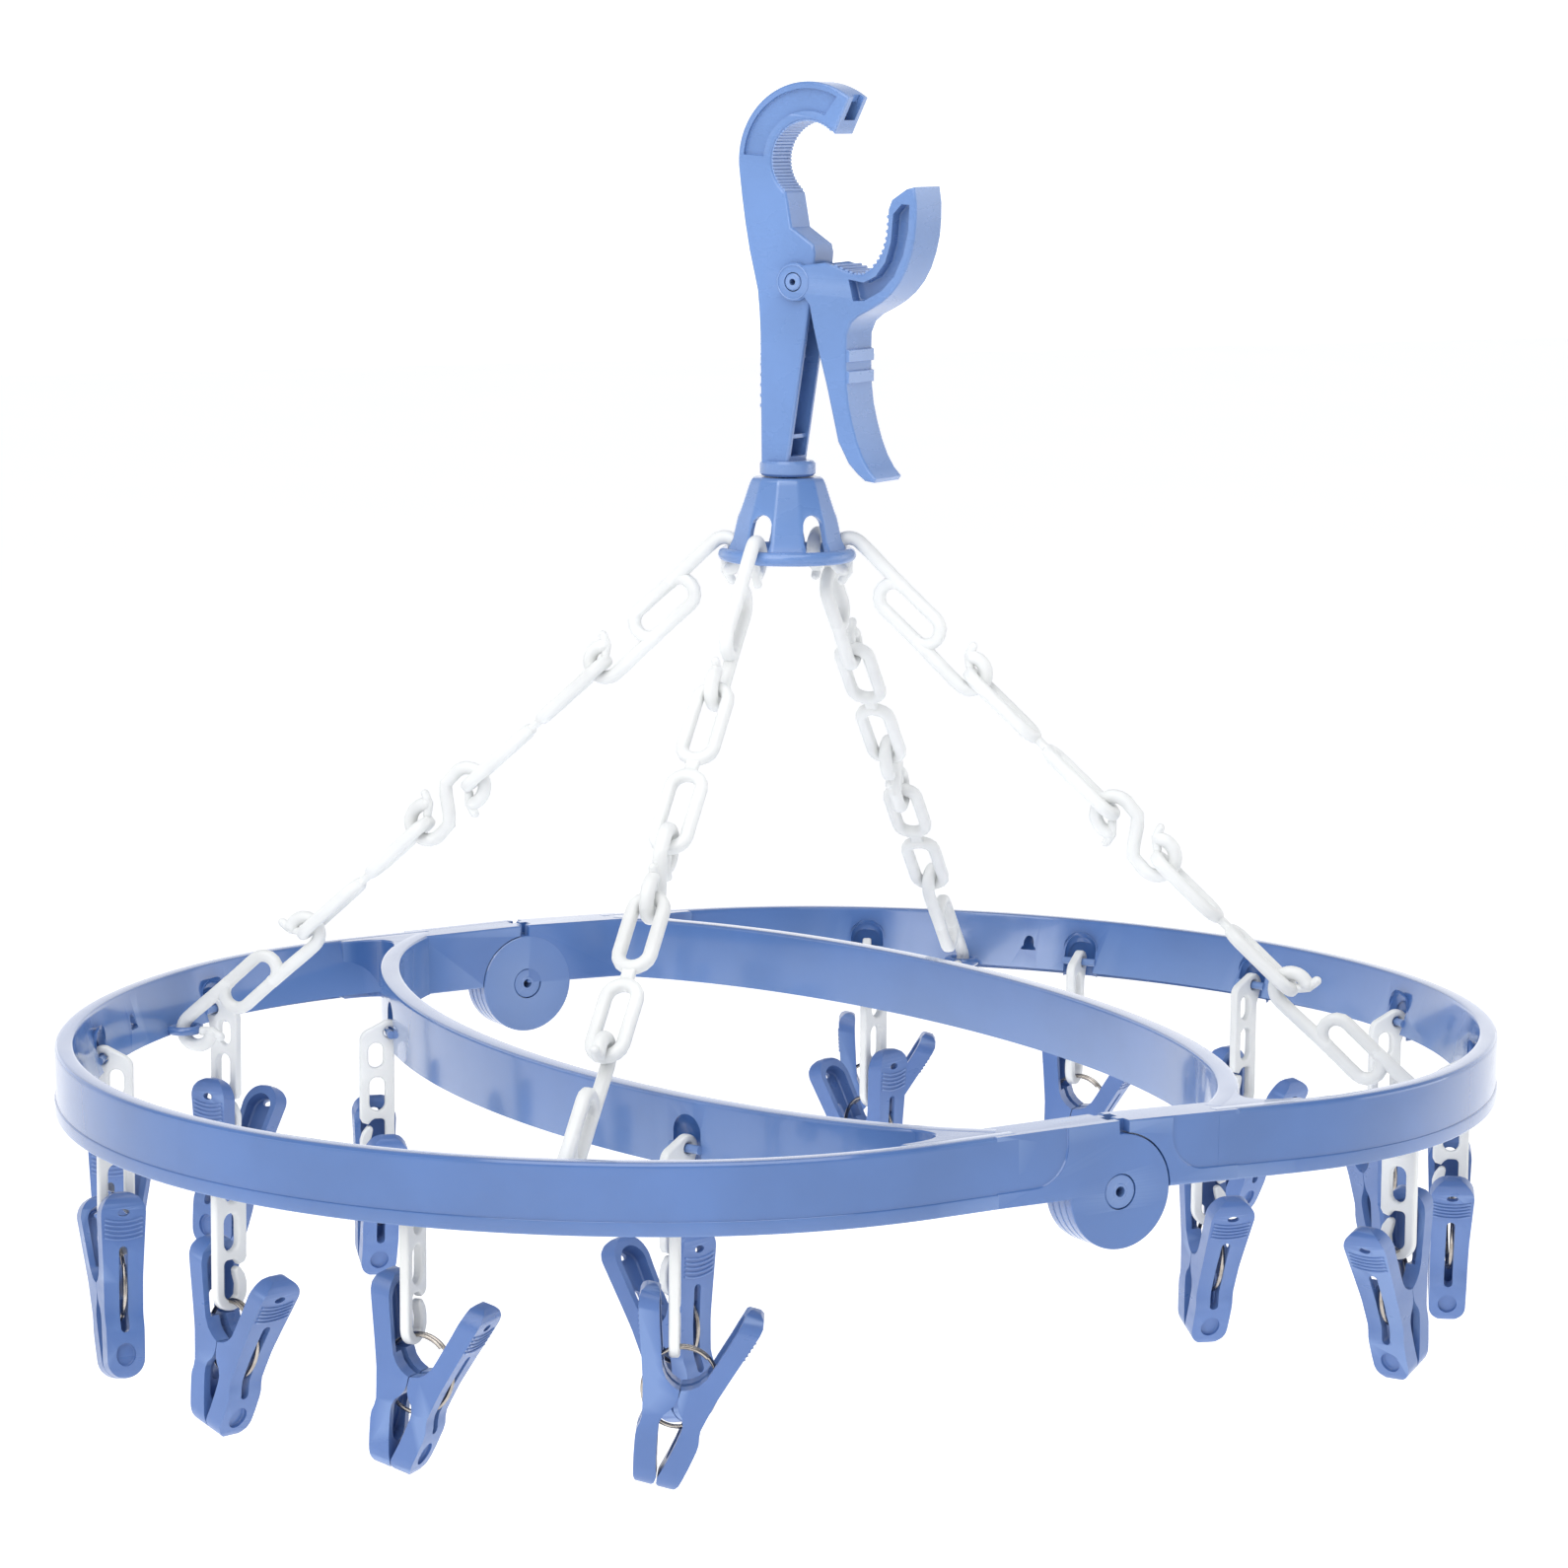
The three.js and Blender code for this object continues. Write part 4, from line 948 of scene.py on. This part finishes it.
def chain(side_name, end_name):
    """One chain's five links, laid along its straight line, flat and upright in turn."""
    name = f"{side_name}_{end_name}"
    side, end = SIDES[side_name], ENDS[end_name]
    across, along = HUB_RIM_RADIUS * math.cos(CHAIN_AZIMUTH), HUB_RIM_RADIUS * math.sin(CHAIN_AZIMUTH)
    top = Vector((side * across, end * along, HUB_RIM_Z))
    foot = hang_point(rim_point(end * QUARTERS[name]["loop"]), LOOP_INSET + LOOP_RADIUS, LOOP_DROP)[0]
    line = half_matrix(side) @ foot - top
    down = line.normalized()
    flat = Vector((-down.y, down.x, 0)).normalized()
    rise = flat.cross(down)
    if rise.z < 0:
        rise.negate()
    for kind, (start, share) in LINK_SPANS.items():
        is_end = kind.startswith("end_link")
        right = flat if kind.startswith("double_ring") else rise
        twist = 0 if is_end else random.uniform(-LINK_TWIST, LINK_TWIST)
        place = axes(top + line * start, right, down) @ Matrix.Rotation(math.radians(twist), 4, "Y")
        mesh = moved(chain_link(kind, line.length * share), place)
        stands_for = (f"chain_{name}",) if kind == "end_link_top" else ()
        piece(f"chain_{kind}_{name}", mesh, CHAIN_WHITE, f"chain_{name}", *stands_for)


# ------------------------------------------------------------------------- hub
def hub():
    """The bell, with arched slots that the top hooks pass through and a rolled rim."""
    z, top, bore, slot_count, facet_count = HUB_RIM_Z, HUB_TOP_Z, 3.35, 6, 12
    outside = [
        (bore, top), (10.2, top), (11.3, top - 0.6), (12, top - 2.2), (13.8, top - 7.6), (15.6, top - 12.6),
        (17, z + 5), (18.2, z + 2.6), (HUB_RIM_RADIUS, z + 0.5),
    ]
    inside = [
        (HUB_RIM_RADIUS - 2, z + 0.5), (15.2, z + 4.4), (13.6, top - 12.6), (11.8, top - 7.6),
        (9.8, top - 2.4), (bore, top - 2.4),
    ]
    half_facet = Matrix.Rotation(math.pi / facet_count, 4, "Z")
    bell = softened(moved(lathe(outside + inside, facet_count), half_facet), 0.6, 3, 24)
    arch = [(-3.9, z - 0.5), (3.9, z - 0.5), (3.6, z + 8), *arc((0, z + 9.4), 3.4, 0, 180, 14), (-3.6, z + 8)]
    for i in range(slot_count):
        turn = CHAIN_AZIMUTH + math.tau * i / slot_count
        out = Vector((math.cos(turn), math.sin(turn), 0))
        bell = carved(bell, moved(plate([arch], 14), axes(out * 15, UP.cross(out), UP)))
    turns = [math.tau * i / 16 for i in range(16)]
    roll = [(HUB_RIM_RADIUS + HUB_RIM_ROLL * math.cos(a), z + HUB_RIM_ROLL * math.sin(a)) for a in turns]
    piece("hub_bell", joined([bell, lathe(roll, 96)]), CLAMP_BLUE, "hub", "hub")


# ----------------------------------------------------------------------- clamp
POST_FOOT = -97.2
FLANGE_TOP = -94.7
CLAMP_PIN_HOLE = 2.9


def clamp_matrix():
    """The clamp's side view, turned so that its jaws open across the pole."""
    right = Vector((math.cos(CLAMP_AZIMUTH), math.sin(CLAMP_AZIMUTH), 0))
    return axes(Vector(), right, UP)


def teeth(places, width, radius):
    """Gripping ridges across the jaw, as low rounded bars."""
    return [rod((x, y, -width / 2), (x, y, width / 2), radius, 10) for x, y in places]


def hook_body():
    """The fixed jaw and its handle: a flat-faced channel with a toothed mouth, on a swivel post."""
    back = [(-13.2, -8), (-12, -16), (-10.5, -24), (-8.8, -31), (-7.6, -36), (-7, -42), (-6.6, -49)]
    front = [(-6.2, -70), (-5.9, -89), (3, -89), (9.8, -43.4), (11.2, -34), (12, -24.5), (11.4, -22), (4, -17)]
    outline = [*arc(POLE_CENTRE, 23.4, 53, 188, 40), *back, *front, *arc(POLE_CENTRE, 12, 235, 41, 44)]
    channel = [(-6, -22), (-5.2, -37.4), (-4.2, -60), (-3.9, -86), (20, -86), (20, -38), (5, -25)]
    mouth = [*arc(POLE_CENTRE, 20.8, 57, 150, 20), *arc(POLE_CENTRE, 14.8, 150, 48, 20), (32, 26), (28, 32)]
    panel = [*arc(POLE_CENTRE, 21.4, 62, 176, 30), *arc(POLE_CENTRE, 14.6, 176, 66, 30)]
    body = carved(plate([outline], CLAMP_DEPTH, 0.9, 3), plate([channel], CLAMP_DEPTH - 3.6, 0.5))
    body = carved(body, plate([mouth], CLAMP_DEPTH - 6))
    for face in (-1, 1):
        sunk = moved(plate([panel], 2.4, 0.3, 2), Matrix.Translation((0, 0, face * CLAMP_DEPTH / 2)))
        body = carved(body, sunk)
    body = carved(body, rod((*CLAMP_PIVOT, -8), (*CLAMP_PIVOT, 8), CLAMP_PIN_HOLE, 32))
    ribs = [box((-5.2, height - 0.6, -5), (3.4, height + 0.6, 5)) for height in (-80, -56)]
    grip_places = [(-6.1, -46 - step * 3.1) for step in range(9)]
    grips = [rod((x, y, -5.4), (x, y, 5.4), 0.75, 12) for x, y in grip_places]
    tooth_places = arc(POLE_CENTRE, 12.1, 50, 228, 34)
    details = [joined(teeth(tooth_places, CLAMP_DEPTH - 1, 0.55)), *ribs, *grips]
    collar = rod((0, 0, -92.1), (0, 0, -87.4), 8.5, 64, 0, 0.8)
    post = rod((0, 0, POST_FOOT), (0, 0, -88), 3, 32, 0, 0.3)
    flange = rod((0, 0, POST_FOOT), (0, 0, FLANGE_TOP), 5, 32, 0, 0.5)
    mesh = joined([moved(joined([body, *details]), clamp_matrix()), collar, post, flange])
    piece("clamp_hook", mesh, CLAMP_BLUE, "hook_body", "hook_body")


def clamp_lever():
    """The sprung jaw: a toothed inner wall and an outer wall over a web, and a ribbed thumb handle."""
    width = CLAMP_DEPTH + 4.6
    inner_edge = [
        (16.4, -27.2), (20, -28.2), (23.6, -29.6), (26.6, -30.6), (29.2, -30.5), (31.8, -29),
        (34.1, -26.4), (35.8, -23.4), (36.9, -19.6), (37.4, -15.4), (37.5, -11),
    ]
    tip = [(38.6, -8.2), (41, -6.6), (43.4, -5), (46.2, -4.3)]
    outer_edge = [
        (46.9, -9), (46.9, -14), (46.5, -19), (45.4, -24), (43.8, -28.6), (41.6, -32.6),
        (38.8, -36), (35.4, -38.8), (31.6, -41), (28, -42.8), (25.4, -45), (24, -48.4),
    ]
    handle = [
        (23.9, -56), (24.1, -63), (24.9, -69.5), (26.2, -75), (27.8, -80.2), (29.8, -85), (32, -88.6),
        (34.4, -91.2), (33.6, -92.4), (30.6, -92), (28, -90), (25, -87), (21.4, -80.5), (19.6, -73),
        (17.4, -64), (14.2, -52.4), (12.6, -46), (11.3, -40),
    ]
    hollow = [
        (-6, -20), (17, -22), (22.4, -32.4), (22, -40), (22, -48.4), (22.1, -63.4), (24.4, -75.6),
        (27.8, -85.4), (26, -89), (8, -87), (-6, -44),
    ]
    recess = [
        (24.6, -32), (29.6, -32.8), (33.6, -30.9), (36.8, -26.6), (38.6, -20.6), (39.3, -12.4), (42, -9.4),
        (44.6, -9.6), (44.4, -17), (42.8, -24.4), (39.8, -30.8), (35.4, -35.4), (30, -38.2), (26.2, -38.4),
    ]
    outline = inner_edge + tip + outer_edge + handle + arc(CLAMP_PIVOT, 5.8, -52, -300, 24)
    body = carved(plate([outline], width, 0.8, 3), plate([hollow], CLAMP_DEPTH + 0.6))
    for face in (-1, 1):
        body = carved(body, moved(plate([recess], 9, 0.5, 2), Matrix.Translation((0, 0, face * width / 2))))
    body = carved(body, rod((*CLAMP_PIVOT, -12), (*CLAMP_PIVOT, 12), CLAMP_PIN_HOLE, 32))
    tooth_places = []
    for (x0, y0), (x1, y1) in zip(inner_edge[1:-1], inner_edge[2:]):
        tooth_places += [(x0, y0), ((x0 + x1) / 2, (y0 + y1) / 2)]
    extras = teeth(tooth_places, width - 1.2, 0.6)
    for low in (-57, -63.4):
        band = [(23.4, low), (24.9, low + 0.4), (24.9, low + 3.8), (23.4, low + 4.4)]
        extras.append(plate([band], width - 1, 0.3, 2))
    for face in (-1, 1):
        boss = [(x, y, face * width / 2) for x, y in arc(CLAMP_PIVOT, 5.1, 0, 352, 44)]
        extras.append(wire(boss, 0.3, closed=True, sides=2))
    mesh = moved(joined([body, *extras]), clamp_matrix())
    piece("clamp_lever_jaw", mesh, CLAMP_BLUE, "clamp_lever", "clamp_lever")


def clamp_pin():
    """The hollow pin that the lever turns on."""
    half = CLAMP_DEPTH / 2 + 2.7
    mesh = rod((*CLAMP_PIVOT, -half), (*CLAMP_PIVOT, half), 2.6, 40, 1, 0.4)
    piece("clamp_cross_pin", moved(mesh, clamp_matrix()), CLAMP_BLUE, "hook_body", "clamp_pin")


def clamp_spring():
    """The torsion spring on the cross pin, its two legs lying in the two handles."""
    turns, radius, length, steps = 3.25, 3.7, 4.2, 78
    x, y = CLAMP_PIVOT
    coil = []
    for i in range(steps + 1):
        share = i / steps
        turn = -math.pi / 2 + math.tau * turns * share
        coil.append((x + radius * math.cos(turn), y + radius * math.sin(turn), length * (share - 0.5)))
    first = (coil[0][0] - 4, coil[0][1] - 12, coil[0][2])
    last = (coil[-1][0] + 8, coil[-1][1] - 14, coil[-1][2])
    mesh = wire([first, *coil, last], 0.6, sides=3)
    piece("clamp_torsion_spring", moved(mesh, clamp_matrix()), STEEL, "hook_body")


# ----------------------------------------------------------------------- stage
def pale_floor():
    """A large near-white floor, well below the pegs."""
    reach, height = FLOOR_HALF * MM, FLOOR_Z * MM
    corners = [(-reach, -reach, height), (reach, -reach, height), (reach, reach, height), (-reach, reach, height)]
    mesh = mesh_of(corners, [(0, 1, 2, 3)])
    floor = bpy.data.objects.new("floor", mesh)
    bpy.context.scene.collection.objects.link(floor)
    material, tree, shader = new_material("pale_floor", (0.93, 0.93, 0.93), 0.9)
    mottled = ramp(tree, noise(tree, 3, 2), (0.92, 0.92, 0.92), (0.94, 0.94, 0.94))
    tree.links.new(mottled, shader.inputs["Base Color"])
    shader.inputs["Emission Color"].default_value = (1, 1, 1, 1)
    shader.inputs["Emission Strength"].default_value = 0.57
    mesh.materials.append(material)


def studio_world():
    """A room that is bright round the horizon and behind the hanger, and darker overhead."""
    world = bpy.data.worlds.new("studio")
    world.use_nodes = True
    tree = world.node_tree
    coordinates = tree.nodes.new("ShaderNodeTexCoord")
    direction = tree.nodes.new("ShaderNodeSeparateXYZ")
    tree.links.new(coordinates.outputs["Generated"], direction.inputs["Vector"])
    glow = ramp(tree, direction.outputs["Z"], (1, 1, 1), (0.3, 0.31, 0.34), 0.14, 0.5)
    tree.links.new(glow, tree.nodes["Background"].inputs["Color"])
    backdrop = span(tree, direction.outputs["Y"], 0.75, 1.4, -0.6, 0.3)
    tree.links.new(backdrop, tree.nodes["Background"].inputs["Strength"])
    bpy.context.scene.world = world


def area_light(name, place, size, power):
    """A soft square light that is aimed at the middle of the hanger; place and size are in metres."""
    data = bpy.data.lights.new(name, "AREA")
    data.size = size
    data.energy = power
    lamp = bpy.data.objects.new(name, data)
    lamp.location = place
    lamp.rotation_euler = (LIGHTS_AIM - Vector(place)).to_track_quat("-Z", "Y").to_euler()
    bpy.context.scene.collection.objects.link(lamp)


def camera():
    """The viewpoint: azimuth 0 looks along +Y, and the elevation is above the horizon."""
    outward = Vector((math.sin(CAMERA_AZIMUTH), -math.cos(CAMERA_AZIMUTH), 0))
    back = outward * math.cos(CAMERA_ELEVATION) + UP * math.sin(CAMERA_ELEVATION)
    right = UP.cross(back).normalized()
    up = back.cross(right)
    matrix = Matrix((right, up, back)).transposed().to_4x4() @ Matrix.Rotation(CAMERA_ROLL, 4, "Z")
    matrix.translation = (CAMERA_TARGET + back * CAMERA_DISTANCE) * MM
    data = bpy.data.cameras.new("camera")
    data.lens = CAMERA_LENS
    data.sensor_width = SENSOR
    data.clip_end = 50
    lens = bpy.data.objects.new("camera", data)
    lens.matrix_world = matrix
    bpy.context.scene.collection.objects.link(lens)
    bpy.context.scene.camera = lens


# -------------------------------------------------------------------- assembly
random.seed(7)
camera()
for side_name in SIDES:
    ring_half(side_name)
for end_name in ENDS:
    hinge_pin(end_name)
for side_name in SIDES:
    for end_name in ENDS:
        chain(side_name, end_name)
pegs()
hub()
hook_body()
clamp_lever()
clamp_pin()
clamp_spring()
pale_floor()
studio_world()
area_light("key", (-1.5, -1.1, 0.9), 1.3, 16)
area_light("fill", (1.7, -0.6, 0.1), 1.2, 5)
area_light("top", (-0.4, -0.6, 1.5), 1.7, 22)
bpy.context.scene.view_settings.view_transform = "Standard"
